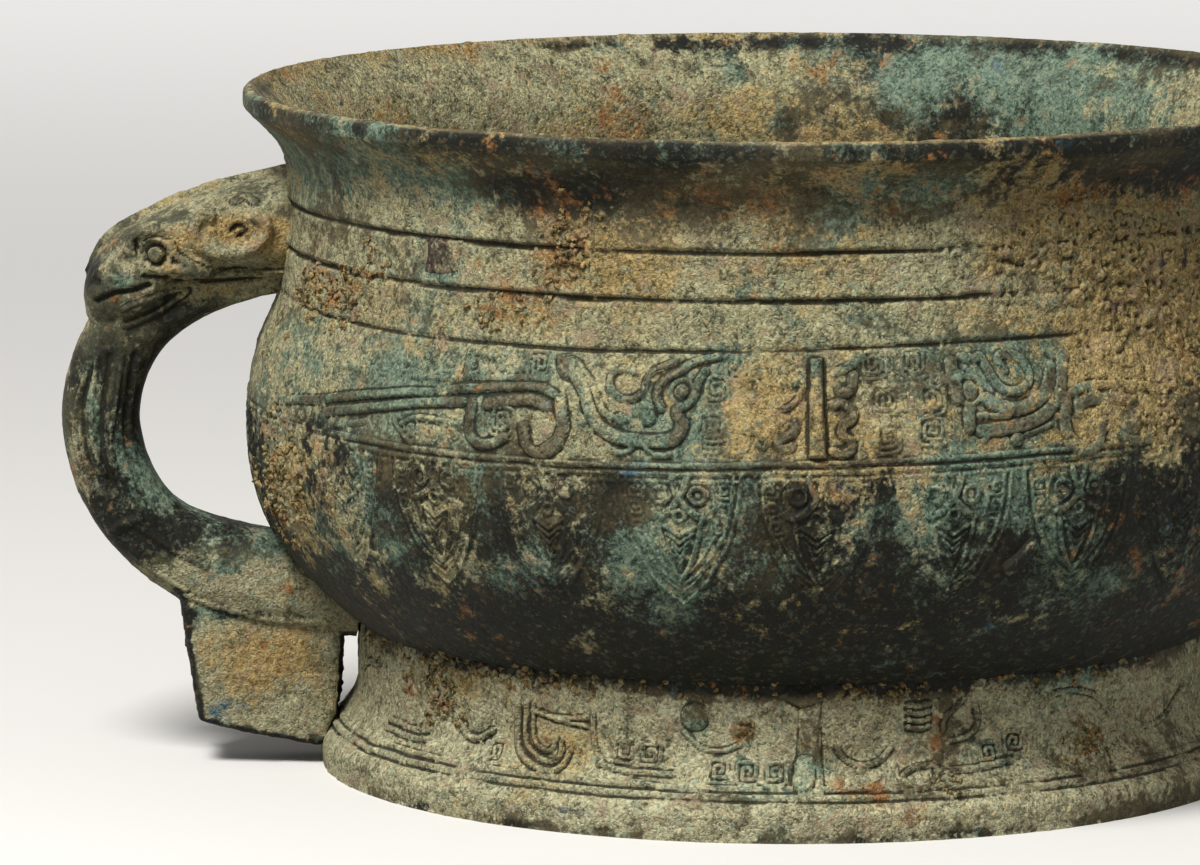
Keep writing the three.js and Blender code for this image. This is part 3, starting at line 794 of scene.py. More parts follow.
# %% Hanging leaves with an insect in each
LEAVES = 26
LEAF_PITCH = 360.0 / LEAVES
LEAF_EDGE = [(11.3, 70.6), (10.8, 65.2), (9.6, 60), (7.4, 55), (4.2, 50), (0, 46.4)]
LEAF_SECOND = [(9.9, 70.6), (9.4, 65.2), (8.3, 60.4), (6.2, 56), (3.4, 51.6), (0, 48.6)]
LEAF_BODY = [(3.9, 62.4), (3.4, 58.4), (2.0, 54.4), (0, 50.9)]
LEAF_STROKES = [
    (0.62, 0.5, LEAF_EDGE),
    (0.5, 0.42, LEAF_SECOND),
    (0.5, 0.42, [(7.6, 59.2), (5.6, 55.2), (3.0, 52.0), (0, 50.2)]),
    (0.5, 0.42, [(6.4, 59.4), (4.8, 56.2), (2.4, 53.3), (0, 51.8)]),
    (0.8, 0.6, LEAF_BODY),
    (1.3, 0.66, [(0, 66.4), (1.4, 64.6), (3.0, 63.4), (4.4, 63.0)]),
    (1.3, 0.66, [(0, 66.4), (0.9, 68.4), (1.4, 70.2)]),
    (0.6, 0.42, [(5.4, 69.6), (6.4, 68.2), (6.6, 65.6), (6.0, 63.4), (4.6, 62.6), (3.0, 62.9)]),
]
LEAF_SOFT = 0.28
LEAF_CURLS = [(8.4, 68.0, 1.5), (8.1, 64.6, 1.4), (7.4, 61.4, 1.3)]
CURL_PITCH, CURL_RISE = 0.85, 0.42
LEAF_EYE = (3.4, 67.0)
EYE_RADIUS, EYE_LINE, EYE_RISE = 1.5, 0.65, 0.6
SMALL_RING = (63.2, 1.0, 0.6, 0.5)
BODY_TOP = 60.6
BODY_RIBS = 5
RIB_PITCH = 1.4
RIB_LINE, RIB_RISE = 0.55, 0.5
LEAF_WEAR = 0.28
LEAF_SCAR = [(36.6, 52.6), (39.0, 54.4), (41.0, 56.6)]


def draw_leaf(relief, middle, number):
    """One hanging leaf: nested outlines, and inside them a ring-eyed insect with a ribbed body."""
    high, half = [v for u, v in LEAF_EDGE[::-1]], [u for u, v in LEAF_EDGE[::-1]]
    inside = np.interp(relief.v, high, half) - np.abs(relief.u - middle)
    relief.dust[:] = np.maximum(relief.dust, soft_step(inside, -0.2, 1.0))
    for way in (-1, 1):
        wear = 1 - LEAF_WEAR * (1 + math.sin(2.4 * number + way))
        for width, rise, points in LEAF_STROKES:
            line = [(middle + way * u, v) for u, v in points]
            relief.line(line, width, wear * rise, soft=LEAF_SOFT)
        eye = (middle + way * LEAF_EYE[0], LEAF_EYE[1])
        relief.ring(eye, EYE_RADIUS, EYE_LINE, EYE_RISE * wear)
        for u, v, half in LEAF_CURLS:
            relief.meander((middle + way * u, v), half, CURL_PITCH, CURL_RISE * wear, way)
    relief.ring((middle, SMALL_RING[0]), *SMALL_RING[1:])
    for rib in range(BODY_RIBS):
        half, top = 3.1 - 0.6 * rib, BODY_TOP - RIB_PITCH * rib
        chevron = [(middle - half, top + 0.8), (middle, top - 1.1), (middle + half, top + 0.8)]
        relief.line(chevron, RIB_LINE, RIB_RISE, smooth=False)


def draw_leaves(relief):
    half_turn = math.radians(90) * SPREAD_RADIUS
    pitch = math.radians(LEAF_PITCH) * SPREAD_RADIUS
    for number in range(-LEAVES // 4 - 1, LEAVES // 4 + 2):
        if abs(number * pitch) < half_turn + pitch:
            draw_leaf(relief, number * pitch, number)
    relief.line(LEAF_SCAR, 2.2, 1.5)


print("leaves:", LEAVES, "at", round(LEAF_PITCH, 2), "degrees")

# %% Mask and border of the foot
FOOT_SPREAD = 84.0
FOOT_STROKES = [
    (0.9, 0.5, [(4.5, 17.3), (6.7, 14.5), (9.8, 13.4), (13.1, 14.3), (15.5, 16.6)]),
    (0.9, 0.55, [(32.1, 23.6), (32.5, 19.8), (30.2, 17.7), (27.2, 17.3)]),
    (0.8, 0.45, [(25.4, 19.1), (25.9, 21.5), (29.0, 24.2), (30.4, 26.0)]),
    (0.9, 0.5, [(17.3, 11.6), (19.6, 12.7), (23.4, 12.8), (23.3, 10.8), (20.8, 9.3), (17.5, 8.7)]),
    (1.0, 0.45, [(24.4, 11.9), (31.3, 12.0), (38.9, 12.8)]),
    (1.2, 0.7, [(-73.5, 16.4), (-70.8, 14.5), (-67.4, 14.4), (-64.5, 16.2)]),
    (0.9, 0.5, [(-97.6, 12.1), (-88.2, 11.9), (-81.9, 12.3)]),
    (0.9, 0.5, [(-97.6, 13.6), (-88.2, 13.4), (-81.9, 13.8)]),
    (0.8, 0.45, [(-91.8, 9.6), (-82.9, 9.6), (-75.8, 9.4)]),
    (1.0, 0.6, [(-58.5, 22.0), (-58.3, 15.1), (-55.9, 12.1), (-50.5, 10.2), (-47.3, 11.2),
        (-46.3, 14.4)]),
    (0.8, 0.5, [(-56.6, 22.6), (-56.5, 15.6), (-54.3, 13.3), (-50.6, 11.9), (-48.4, 13.0),
        (-48.5, 15.7)]),
    (0.7, 0.45, [(-55.0, 22.4), (-54.7, 16.4), (-52.7, 14.2), (-50.6, 14.0), (-49.8, 15.9)]),
    (0.9, 0.5, [(-55.2, 21.1), (-49.0, 20.3), (-43.0, 20.9)]),
    (0.8, 0.45, [(-49.9, 20.0), (-45.8, 19.6), (-43.0, 19.2)]),
    (0.8, 0.4, [(-41.7, 21.7), (-41.4, 15.7), (-39.5, 12.8)]),
    (0.9, 0.45, [(-39.9, 12.3), (-33.5, 11.5), (-25.3, 11.6)]),
    (0.8, 0.45, [(-32.6, 9.8), (-25.3, 9.3), (-18.7, 8.9)]),
    (0.8, 0.4, [(-24.0, 19.8), (-20.5, 16.5), (-16.2, 16.0), (-12.8, 17.4)]),
    (0.8, 0.4, [(45.0, 20.5), (48.5, 23.8), (54.0, 24.6), (60.5, 22.6), (64.5, 18.4)]),
    (0.8, 0.4, [(68.0, 21.0), (70.5, 17.0), (76.0, 15.0), (83.0, 16.4), (90.0, 20.5)]),
    (0.9, 0.45, [(-118.0, 20.0), (-112.0, 22.5), (-104.0, 22.0), (-99.0, 18.0)]),
]
FOOT_DOMES = [(-21.6, 22.2, 2.6, 1.3), (-68.6, 19.4, 3.9, 1.3), (24.4, 14.4, 1.4, 0.7),
              (-50.6, 16.4, 1.3, 0.6), (10.0, 19.5, 2.0, 0.7), (-30.0, 21.4, 2.2, 0.45),
              (56.6, 13.0, 5.2, 2.2)]
FOOT_MEANDERS = [(-11.6, 12.4), (-6.4, 12.2), (-16.8, 12.6), (34.5, 14.6), (40.2, 16.2),
                 (-62.8, 12.6), (-35.0, 15.2), (-30.0, 15.0)]
FOOT_BORDER = 8.1
FOOT_BOLDNESS = 1.7
FOOT_RIBS = [(18.6, 0), (20.5, -0.25), (22.4, 0)]
FOOT_RIB_LOW, FOOT_RIB_PITCH = 20.3, 1.35
FOOT_LINES = ((FOOT_BORDER, 0.75, 0.5), (FOOT_BORDER + 1.5, 0.6, 0.4), (25.8, 0.7, 0.25))
FOOT_CUT = 0.75
FOOT_MEANDER = dict(half=2.4, pitch=1.0, rise=0.62)
BROKEN_WAVES = (0.083, 0.21)
FOOT_RIDGE = dict(low=8.2, high=28.2, half_width=2.1, proud=0.9, notches=1)
RIDGE_LUMPS = [(2.6, 1.9, [(-3.8, 26.9), (-1.2, 26.0), (1.4, 26.8)]),
               (3.8, 1.7, [(-0.8, 13.6), (-1.2, 10.6)])]


def draw_foot(relief):
    draw_strokes(relief, [(w, FOOT_BOLDNESS * rise, line) for w, rise, line in FOOT_STROKES])
    for u, v, radius, rise in FOOT_DOMES:
        relief.dome((u, v), radius, rise)
    for rib in range(4):
        low = FOOT_RIB_LOW + FOOT_RIB_PITCH * rib
        relief.line([(u, low + sag) for u, sag in FOOT_RIBS], 1.0, 1.1, soft=0.3)
    draw_meanders(relief, FOOT_MEANDERS, **FOOT_MEANDER)
    slow, fast = (relief.u * wave for wave in BROKEN_WAVES)
    broken = 0.5 + 0.5 * np.sin(fast) * np.sin(slow + 1.1)
    for line in FOOT_LINES:
        level_line(relief, *line)
    for above in (FOOT_CUT, -FOOT_CUT):
        sunk_line(relief, FOOT_BORDER + above, 0.5, 0.6 * broken)
    draw_ridge(relief, **FOOT_RIDGE)
    draw_strokes(relief, RIDGE_LUMPS)


print("foot:", len(FOOT_STROKES), "strokes and", len(FOOT_DOMES), "bosses")

# %% [markdown]
# ## Where each layer lies
#
# Corrosion follows the burial: the shoulder caught the soil and holds a thick tan crust, the lower
# belly stayed clean and dark, and green salts bloomed where water stood. Each layer therefore has
# a general level for each zone of the vessel, a few soft patches, and noise. A patch
# is an angle from the front, a height, a half width in degrees, a half height and a strength.

# %% Patches of corrosion, and some of painted shade
PATCHES = {
    "green": [(-60, 119, 17, 10, 0.5), (-46, 104, 9, 8, 0.22), (-22, 99, 7, 7, 0.25),
        (-8, 100, 7, 9, 0.34), (-4, 92, 6, 5, 0.45), (-63, 80, 11, 9, 0.34), (-41, 82, 12, 7, 0.38),
        (-19, 84, 8, 8, 0.46), (23, 90, 7, 5, 0.45), (-16, 57, 4.5, 5.5, 0.38), (-52, 55, 9, 9, 0.34),
        (-33, 52, 7, 7, 0.25), (-57, 47, 6, 8, 0.3), (-73, 117, 6, 7, 0.35), (14, 62, 9, 6, 0.2),
        (10, 99, 9, 7, 0.3), (24, 98, 6, 5, 0.3), (-24, 78, 9, 5, 0.34), (22, 103, 8, 5, 0.3),
        (-70, 6, 14, 5, 0.35), (-64, 10, 12, 5, 0.3), (-36, 8, 9, 5, 0.32), (-14, 14, 9, 7, 0.38),
        (5, 11, 8, 5, 0.3), (26, 16, 10, 6, 0.3), (8, 124, 8, 3, 0.3), (-48, 13, 9, 6, 0.34),
        (40, 22, 10, 6, 0.3), (-16, 79, 6, 5, 0.3)],
    "earth": [(30, 110, 17, 15, 0.5), (46, 100, 15, 22, 0.5), (-36, 98, 10, 7, 0.24),
        (-60, 97, 12, 8, 0.25), (-67, 60, 12, 14, 0.6), (-54, 43, 10, 7, 0.22), (-7, 84, 5, 8, 0.2),
        (-24, 108, 9, 8, 0.22), (10, 43, 13, 4, 0.22), (30, 44, 8, 5, 0.12), (0, 70, 9, 4, 0.2),
        (45, 20, 14, 8, 0.1), (-55, 25, 12, 6, 0.2), (18, 103, 8, 6, 0.2), (-5, 107, 14, 5, 0.15),
        (-42, 38, 8, 4, 0.12), (-20, 37, 10, 3, 0.1)],
    "ochre": [(-8, 82, 7, 9, 0.85), (32, 108, 16, 18, 0.6), (48, 92, 15, 24, 0.55), (-34, 97, 8, 6, 0.5),
        (-58, 99, 6, 6, 0.5), (30, 82, 14, 12, 0.5), (-50, 25, 6, 6, 0.7), (5, 44, 12, 5, 0.45),
        (-3, 122, 22, 7, 0.25), (-70, 96, 4, 6, 0.5), (-22, 109, 9, 8, 0.5), (2, 112, 12, 6, 0.35),
        (14, 84, 7, 8, 0.4), (-66, 60, 12, 13, 0.35)],
    "rust": [(-27, 113, 5.5, 8, 0.42), (-30, 104, 3, 7, 0.42), (-60, 98, 4, 4, 0.32),
        (-36, 99, 4, 5, 0.3), (-58, 66, 4, 5, 0.42), (28, 119, 2.2, 2.2, 0.5), (33, 121, 4, 3, 0.34),
        (8.3, 118, 2.4, 2.4, 0.5), (-9, 92, 3, 4, 0.3), (-59, 20, 8, 6, 0.4), (-8.3, 20, 1.8, 2.2, 0.8),
        (16.5, 18, 1.3, 7, 0.5), (7.5, 9, 2.6, 2.6, 0.55), (12, 5.5, 2, 3, 0.5), (44, 90, 5, 8, 0.25),
        (38, 13, 3, 3, 0.45), (22, 112, 4, 5, 0.3), (-36, 15, 2, 2, 0.5), (2, 66, 4, 3, 0.25),
        (48, 118, 6, 5, 0.25), (-8, 121, 20, 5, 0.22), (-68, 75, 4, 5, 0.3)],
    "blue": [(-19, 71, 1.4, 1.4, 0.62), (-40, 3, 5, 2.2, 0.32), (-30, 4, 3, 2, 0.26),
        (17, 104, 1.8, 2.8, 0.34)],
    # Dark patches, mostly dark bronze. Some are painted shade: the bands at 28 to 28.6 mm for the belly's
    # shadow on the top of the foot, those at 121 and 122 mm for the shade under the lip, and the tall one
    # at 60 degrees on the neck and the one at 58 degrees on the foot for the right side, which turns from
    # the lamp.
    "dark": [(60, 94, 17, 24, 0.46), (34, 60, 30, 11, 0.3), (-76, 62, 7, 20, 0.2), (-58, 60, 9, 9, 0.24),
        (24, 103, 7, 6, 0.25), (9, 88, 5, 7, 0.34), (5, 98, 6, 4, 0.34), (-30, 121, 8, 4, 0.25),
        (20, 96, 10, 4, 0.36), (-47, 96, 4, 3, 0.25), (22, 104, 6, 4, 0.3), (55, 60, 22, 18, 0.4),
        (-47, 103, 5, 3, 0.35), (-40, 0.6, 30, 1.8, 0.5), (25, 0.6, 40, 1.8, 0.5),
        (-30, 28.6, 60, 2.6, 0.7), (40, 28.6, 50, 2.8, 0.7), (48, 122, 24, 8, 0.5),
        (-58, 73, 9, 4, 0.3), (58, 14, 12, 14, 0.3), (-50, 28, 9, 3, 0.4)],
    "ruin": [(-70, 62, 14, 16, 1.0), (-40, 28, 60, 2.8, 0.8), (35, 28, 50, 2.8, 0.7), (38, 13, 4, 6, 0.8),
        (-76, 85, 10, 12, 0.5), (42, 100, 18, 30, 0.75), (30, 110, 12, 12, 0.8), (-58, 20, 9, 7, 0.7),
        (-8, 84, 4, 8, 0.35), (60, 80, 14, 16, 0.5), (-24, 108, 3.5, 5, 0.6), (44, 78, 9, 8, 0.5),
        (-58, 42, 9, 6, 0.4)],
    "nodule": [(-45, 27.2, 30, 1.8, 0.55), (20, 27.2, 36, 1.6, 0.45), (-27, 112, 3.4, 7, 0.75),
        (-66, 95, 8, 8, 0.25), (52, 84, 8, 12, 0.3), (-30, 103, 2.6, 5, 0.5), (-60, 98, 3, 3, 0.5),
        (-36, 98, 4, 3.5, 0.4), (29, 119, 1.4, 1.4, 0.9), (34, 121, 3, 2.4, 0.4), (-55, 22, 6, 6, 0.9),
        (-72, 60, 7, 12, 0.5), (-70, 97, 3, 4, 0.35), (38.5, 14, 3.2, 4.0, 0.9), (-8.3, 20, 1.5, 2, 0.8),
        (17, 10, 1.6, 2.4, 0.5), (-56, 105, 4, 4, 0.35)],
}

ZONE_LAYERS = ("dark", "green", "earth", "ochre", "rust", "blue", "pits", "crust", "crest")
ZONES = {
    "neck": (0.22, 0.3, 0.66, 0.2, 0.05, 0.0, 0.25, 0.26, 0.2),
    "shoulder": (0.06, 0.38, 0.8, 0.16, 0.04, 0.0, 0.25, 0.26, 0.2),
    # Under the lip the neck is darker: dark bronze, and painted shade where the flaring lip hangs over
    # it.
    "shaded_under_lip": (0.42, 0.22, 0.34, 0.34, 0.16, 0.0, 0.2, 0.2, 0.2),
    "frieze": (0.2, 0.44, 0.58, 0.22, 0.05, 0.0, 0.3, 0.3, 0.8),
    "leaves": (0.74, 0.3, 0.2, 0.24, 0.04, 0.0, 0.45, 0.22, 0.85),
    "belly": (1.15, 0.08, 0.03, 0.36, 0.00, 0.0, 0.4, 0.2, 0.3),
    "foot": (0.02, 0.36, 0.84, 0.14, 0.05, 0.0, 0.4, 0.36, 0.25),
    "lip": (0.78, 0.18, 0.16, 0.4, 0.12, 0.0, 0.2, 0.1, 0.3),
    # The pale gold line along the top of the lip is a painted highlight.
    "lip_edge_highlight": (0.24, 0.24, 0.5, 0.56, 0.16, 0.0, 0.1, 0.1, 0.3),
    "inside": (0.36, 0.52, 0.48, 0.22, 0.12, 0.0, 0.5, 0.45, 0.0),
    "tail": (0.08, 0.3, 0.68, 0.28, 0.06, 0.0, 0.4, 0.32, 0.2),
    "loop": (0.72, 0.26, 0.24, 0.22, 0.06, 0.0, 0.3, 0.22, 0.35),
    "head": (0.14, 0.32, 0.62, 0.26, 0.05, 0.0, 0.3, 0.26, 0.3),
}
BOWL_ZONES = [(40, "belly"), (51, "leaves"), (69, "leaves"), (75, "frieze"), (92, "frieze"),
              (96, "shoulder"), (102, "shoulder"), (108, "neck"), (114, "neck"), (121, "shaded_under_lip"),
              (127.5, "shaded_under_lip"), (129.3, "lip"), (131.3, "lip"), (131.9, "lip_edge_highlight")]
FOOT_ZONES = [(0, "foot")]
# Inside, too, the top of the lip carries the painted highlight.
INSIDE_ZONES = [(0, "inside"), (128, "inside"), (130.5, "lip"), (131.6, "lip_edge_highlight")]
INSIDE_PATCHES = {
    # The strong pale patch at -132 degrees is partly crust and partly painted light on the left of the
    # inside wall.
    "earth": [(-132, 122, 30, 24, 0.9), (-172, 120, 14, 12, 0.2), (150, 118, 12, 10, 0.15)],
    "green": [(172, 122, 16, 9, 0.2), (158, 126, 10, 7, 0.16), (-155, 118, 9, 7, 0.25),
        (140, 115, 12, 9, 0.34)],
    "ochre": [(-178, 116, 12, 7, 0.5), (165, 112, 14, 8, 0.55), (-150, 112, 10, 6, 0.35)],
    "rust": [(-164, 114, 5, 6, 0.35), (174, 124, 4, 4, 0.28), (156, 108, 6, 5, 0.3)],
    "dark": [(-168, 127, 8, 3, 0.4), (165, 128, 7, 3, 0.4), (172, 114, 26, 9, 0.22),
        (146, 120, 18, 14, 0.34)],
}
BACK_SHARE = 0.75
NODULE_RISE = 1.3
DRAPE = 0.6
DUST_SHARES = {"earth": 0.26, "green": 0.1}
DARK_AND_SHADE_SHARES = {"earth": -0.8, "green": -0.3, "ochre": -0.3}
PITS = ((2.1, 74, 0.28, 0.6), (1.1, 75, 0.18, 1.0))
LAYER_DRIFT = {"green": (17, 0.42), "earth": (13, 0.32), "ochre": (21, 0.38), "rust": (9, 0.26),
               "dark": (19, 0.34), "blue": (8, 0.12)}


def patch_level(patches, layer, place, height):
    """The sum of a layer's soft patches. On the back of the vessel each has a fainter twin."""
    level = np.zeros(place.shape, np.float32)
    for middle, at, wide, tall, strength in patches.get(layer, []):
        for turn, share in ((0, 1.0), (180, BACK_SHARE)):
            away = (place - middle - turn + 180) % 360 - 180
            fall = np.exp(-(away / wide) ** 2 - ((height - at) / tall) ** 2)
            level += share * strength * fall
    return level


def zone_level(layer, height, zones):
    """A layer's general level, blended by height from zone to zone."""
    column = ZONE_LAYERS.index(layer)
    return np.interp(height, [at for at, name in zones], [ZONES[name][column] for at, name in zones])


def blur(grid, reach):
    """The mean of each point's neighbours on the grid, as far as this many steps away."""
    for axis in (0, 1):
        size = grid.shape[axis]
        steps = min(reach, size // 2 - 1)
        if steps < 1:
            continue
        edge = [(steps + 1, steps) if a == axis else (0, 0) for a in (0, 1)]
        total = np.cumsum(np.pad(grid, edge, mode="edge"), axis=axis)
        ahead = np.take(total, range(2 * steps + 1, 2 * steps + 1 + size), axis=axis)
        behind = np.take(total, range(size), axis=axis)
        grid = (ahead - behind) / (2 * steps + 1)
    return grid


def corrode(relief, place, height, places, zones, near, patches=PATCHES, dust=0.0):
    """Wears and pits the relief, lays crust on it, and gives the height and the layer weights.

    near gives the mean height of each point's surroundings, which tells ridges from hollows.
    ruin is how far the metal has rotted, cover is where crust hides it, and clods make nodules.
    """
    level = {layer: zone_level(layer, height, zones) for layer in ZONE_LAYERS}
    for number, (layer, (size, sway)) in enumerate(LAYER_DRIFT.items()):
        level[layer] = (level[layer] + patch_level(patches, layer, place, height)
                        + sway * noise(places, size, 10 * number + 11))
    # Where the dark patches lie, partly dark bronze and partly painted shade, the paler layers thin out.
    dark_patches_and_shade = patch_level(patches, "dark", place, height)
    for source, shares in ((dust, DUST_SHARES), (dark_patches_and_shade, DARK_AND_SHADE_SHARES)):
        for layer, share in shares.items():
            level[layer] = level[layer] + share * source
    ruin = np.clip(patch_level(patches, "ruin", place, height) + 0.22 * noise(places, 14, 71), 0, 1)
    rough = noise(places, 2.3, 72, 2)
    kept = relief * (1 - 0.8 * ruin)
    metal = kept + 0.09 * noise(places, 9, 73) + 0.05 * rough
    for size, seed, depth, share in PITS:
        metal = metal - depth * spots(places, size, seed, share * level["pits"])
    depth = level["crust"] * (level["earth"] - 0.32) + 0.45 * ruin * level["earth"]
    lumps = 0.55 * spots(places, 1.6, 76, 0.6) + 0.65 * spots(places, 3.3, 77, 0.45)
    soiled = np.clip(level["earth"], 0, 1.2)
    grainy = 0.06 + 0.2 * soiled + 0.26 * ruin
    granules = np.maximum(spots(places, 2.6, 88, 0.9), 0.75 * spots(places, 1.6, 93, 0.85))
    crust = depth + grainy * (0.8 * rough + lumps - 0.35)
    crust = crust + ruin * (0.4 * noise(places, 4.5, 87, 3) + 0.75 * granules - 0.28)
    clusters = patch_level(patches, "nodule", place, height)
    nodule = np.clip(clusters + 0.45 * noise(places, 4.5, 78), 0, 1) * (clusters > 0.12)
    clod = np.maximum(spots(places, 2.6, 85, 0.85), 0.6 * spots(places, 1.5, 86, 0.7))
    crust = crust + NODULE_RISE * nodule * clod + np.where(kept > 0, DRAPE * kept, kept)
    cover = soft_step(crust - metal, -0.05, 0.12)
    rise = np.maximum(metal, crust)
    low = near(rise) - rise
    wear = soft_step(noise(places, 5, 80, 2), -0.5, 0.5)
    crest = level["crest"] * wear * soft_step(relief * (1 - 0.6 * ruin), 0.3, 0.6) * (1 - cover)
    layers = {
        **{layer: level[layer] for layer in ("green", "ochre", "blue")},
        "dark": level["dark"] * (1 - 0.4 * cover),
        "earth": np.clip(0.86 * level["earth"] + 0.22 * cover - 0.5 * crest - 0.06, -0.2, 1.2),
        "rust": level["rust"] + 0.35 * nodule * soft_step(clod, 0.1, 0.6),
        "crest": crest,
        # hollow marks recesses, which the patina group darkens partly as dirt and partly as painted shade
        "hollow": soft_step(low, 0.03, 0.24),
        "nodule": nodule,
    }
    return rise, layers


print("layers:", ", ".join(PATCHES))

# %% [markdown]
# ## The bowl
#
# The front half is what people look at, so its grid is fine enough for the thinnest line of the
# ornament, about a quarter of a millimetre. The back half is a little coarser. The bowl's skin is
# cut into bands at its border lines, where a founder's mould would part too, and each band is one
# closed shell.

# %% Skin of the bowl, band by band
NECK_SEAM = 93.2
FRIEZE_SEAM = 72.4
LEAF_SEAM = 45.0
FRONT = (-90.0, 90.0)
BACK = (90.0, 270.0)
SEAM_SLACK = 1e-4
HAND_CUT = 0.16
CUT_BELOW = 0.25
NEAR = 0.9


def pattern_turn(phi):
    """The angle in the pattern, which the back half of the vessel repeats."""
    wrapped = (phi + 90 + SEAM_SLACK) % 360 - 90 - SEAM_SLACK
    return np.where(wrapped > 90 + SEAM_SLACK, wrapped - 180, wrapped)


def mean_near(spacing):
    """The mean height within about a millimetre, on a grid with this spacing."""
    return lambda grid: blur(grid, max(1, round(NEAR / (spacing * FINE))))


def cast_surface(draw, spacing, zones=BOWL_ZONES, spread=SPREAD_RADIUS, patches=PATCHES):
    """A band of the vessel: its ornament, warped as if cut by hand, and then corrosion."""

    def surface(phi, height, places):
        u = np.radians(pattern_turn(phi)) * spread + HAND_CUT * noise(places, 7, 81, 2)
        relief = Relief(u, height + HAND_CUT * noise(places, 7, 83, 2))
        for stroke in draw:
            stroke(relief)
        near = mean_near(spacing)
        shape = np.where(relief.height < CUT_BELOW, relief.height - relief.cut, relief.height)
        return corrode(shape, phi, height, places, zones, near, patches, relief.dust)

    return surface


def wall_span(low, high):
    """The stretch of the outer outline between two heights. The uppermost runs over the lip."""
    return outer.reach(low), (outer.reach(high) if high < HEIGHT else outer.length)


BANDS = [
    ("bowl_neck", (NECK_SEAM, HEIGHT), [draw_neck, draw_borders], 0.4, 0.4),
    ("bowl_frieze", (FRIEZE_SEAM, NECK_SEAM), [draw_frieze, draw_borders], 0.28, 0.28),
    ("bowl_leaves", (LEAF_SEAM, FRIEZE_SEAM), [draw_leaves, draw_borders], 0.28, 0.28),
    ("bowl_belly", (FOOT_HEIGHT, LEAF_SEAM), [], 0.5, 0.42),
]
BACK_COARSER = 1.5
bowl_pieces = []
for name, heights, draw, step, spacing in BANDS:
    span = wall_span(*heights)
    sides = [("front", FRONT, 1.0), ("back", BACK, BACK_COARSER)]
    if name == "bowl_leaves":
        split = -LEAF_PITCH / 2
        sides[:1] = [("front_left", (FRONT[0], split), 1.0), ("front_right", (split, FRONT[1]), 1.0)]
    for side, sweep, coarser in sides:
        made = skin(f"{name}_{side}", outer, span, sweep, step * coarser, spacing * coarser,
                    cast_surface(draw, spacing * coarser))
        bowl_pieces.append(made)
print("bowl skin:", sum(len(o.data.polygons) for o in bowl_pieces), "faces")

# %% Lining and underside
POLE_GAP = 1.2
whole_turn = (0.0, 360.0)
bowl_pieces.append(skin("bowl_lining", lining, (0.0, lining.length - POLE_GAP), whole_turn,
                        1.2, 1.3, cast_surface([], 1.25, INSIDE_ZONES, patches=INSIDE_PATCHES),
                        pole=True))
bowl_pieces.append(skin("bowl_underside", underside, (0.0, underside.length - POLE_GAP),
                        whole_turn[::-1], 2.0, 2.4, cast_surface([], 2.2, INSIDE_ZONES), pole=True))
print("lining length", round(lining.length, 1), "mm")

# %% [markdown]
# ## The foot
#
# The ring foot carries the remains of a mask with a broad ridge for its nose. Most of it is lost
# under crust, so it is drawn as separate strokes. Its standing edge is a plain band.

# %% Skin of the foot
foot_pieces = []
for name, line, sweep, step, spacing, draw in (
        ("ring_foot_front", foot_outer, FRONT, 0.34, 0.38, [draw_foot]),
        ("ring_foot_back", foot_outer, BACK, 0.5, 0.55, [draw_foot]),
        ("ring_foot_lining", foot_inner, whole_turn, 1.2, 1.6, [])):
    foot_pieces.append(skin(name, line, (0.0, line.length), sweep, step, spacing,
                            cast_surface(draw, spacing, FOOT_ZONES, FOOT_SPREAD)))
print("foot skin:", sum(len(o.data.polygons) for o in foot_pieces), "faces")

# %% [markdown]
# ## Spacers
#
# Small bronze plates held the inner and outer mould apart while the metal was poured. They stay in
# the wall for good and show as darker patches with a seam round them. The plates themselves are
# solids of the frame. Here each gets a face that stands a third of a millimetre proud, with the
# ragged edge that the melt left.

# %% Faces of the spacers
SPACER_WIDTH = 9.0
SPACER_HEIGHT = 6.0
SPACER_PROUD = 0.34
SPACER_SUNK = 0.5
NECK_SPACER_HEIGHT = 107.2
NECK_SPACER_ANGLES = (44, 136, 224, 316)
FLOOR_SPACER_RADIUS = 46.0
FLOOR_SPACER_ANGLES = (45, 135, 225, 315)
SPACER_MARGIN = 0.8
SPACER_GRID = 0.25


def spacer_surface(turn, radius):
    """A plate with ragged rounded edges that dips below the skin around it."""

    def surface(phi, height, places):
        across = np.radians(phi - turn) * radius
        rows = np.linspace(-1, 1, phi.shape[0])[:, None] + 0 * phi
        up = rows * (SPACER_HEIGHT / 2 + SPACER_MARGIN)
        edge = np.minimum(SPACER_WIDTH / 2 - np.abs(across), SPACER_HEIGHT / 2 - np.abs(up))
        edge = edge + 0.45 * noise(places, 3.0, 91)
        rise = -SPACER_SUNK + (SPACER_SUNK + SPACER_PROUD) * soft_step(edge, -0.4, 0.5)
        rise = rise + 0.07 * noise(places, 1.6, 92) - 0.16 * spots(places, 1.3, 93, 0.3)
        tint = noise(places, 5, 94)
        layers = {"dark": 0.72 + 0.3 * tint, "green": 0.24 + 0.2 * tint, "earth": 0.36 - 0.3 * tint,
                  "rust": 0.2 + 0 * tint, "hollow": 0.6 * soft_step(-edge, -0.5, 0.3)}
        return rise, layers

    return surface


def make_spacer(name, outline, middle, turn, radius):
    reach = SPACER_HEIGHT / 2 + SPACER_MARGIN
    half_turn = math.degrees((SPACER_WIDTH / 2 + SPACER_MARGIN) / radius)
    return skin(name, outline, (middle - reach, middle + reach), (turn - half_turn, turn + half_turn),
                SPACER_GRID, SPACER_GRID * SPREAD_RADIUS / radius, spacer_surface(turn, radius))


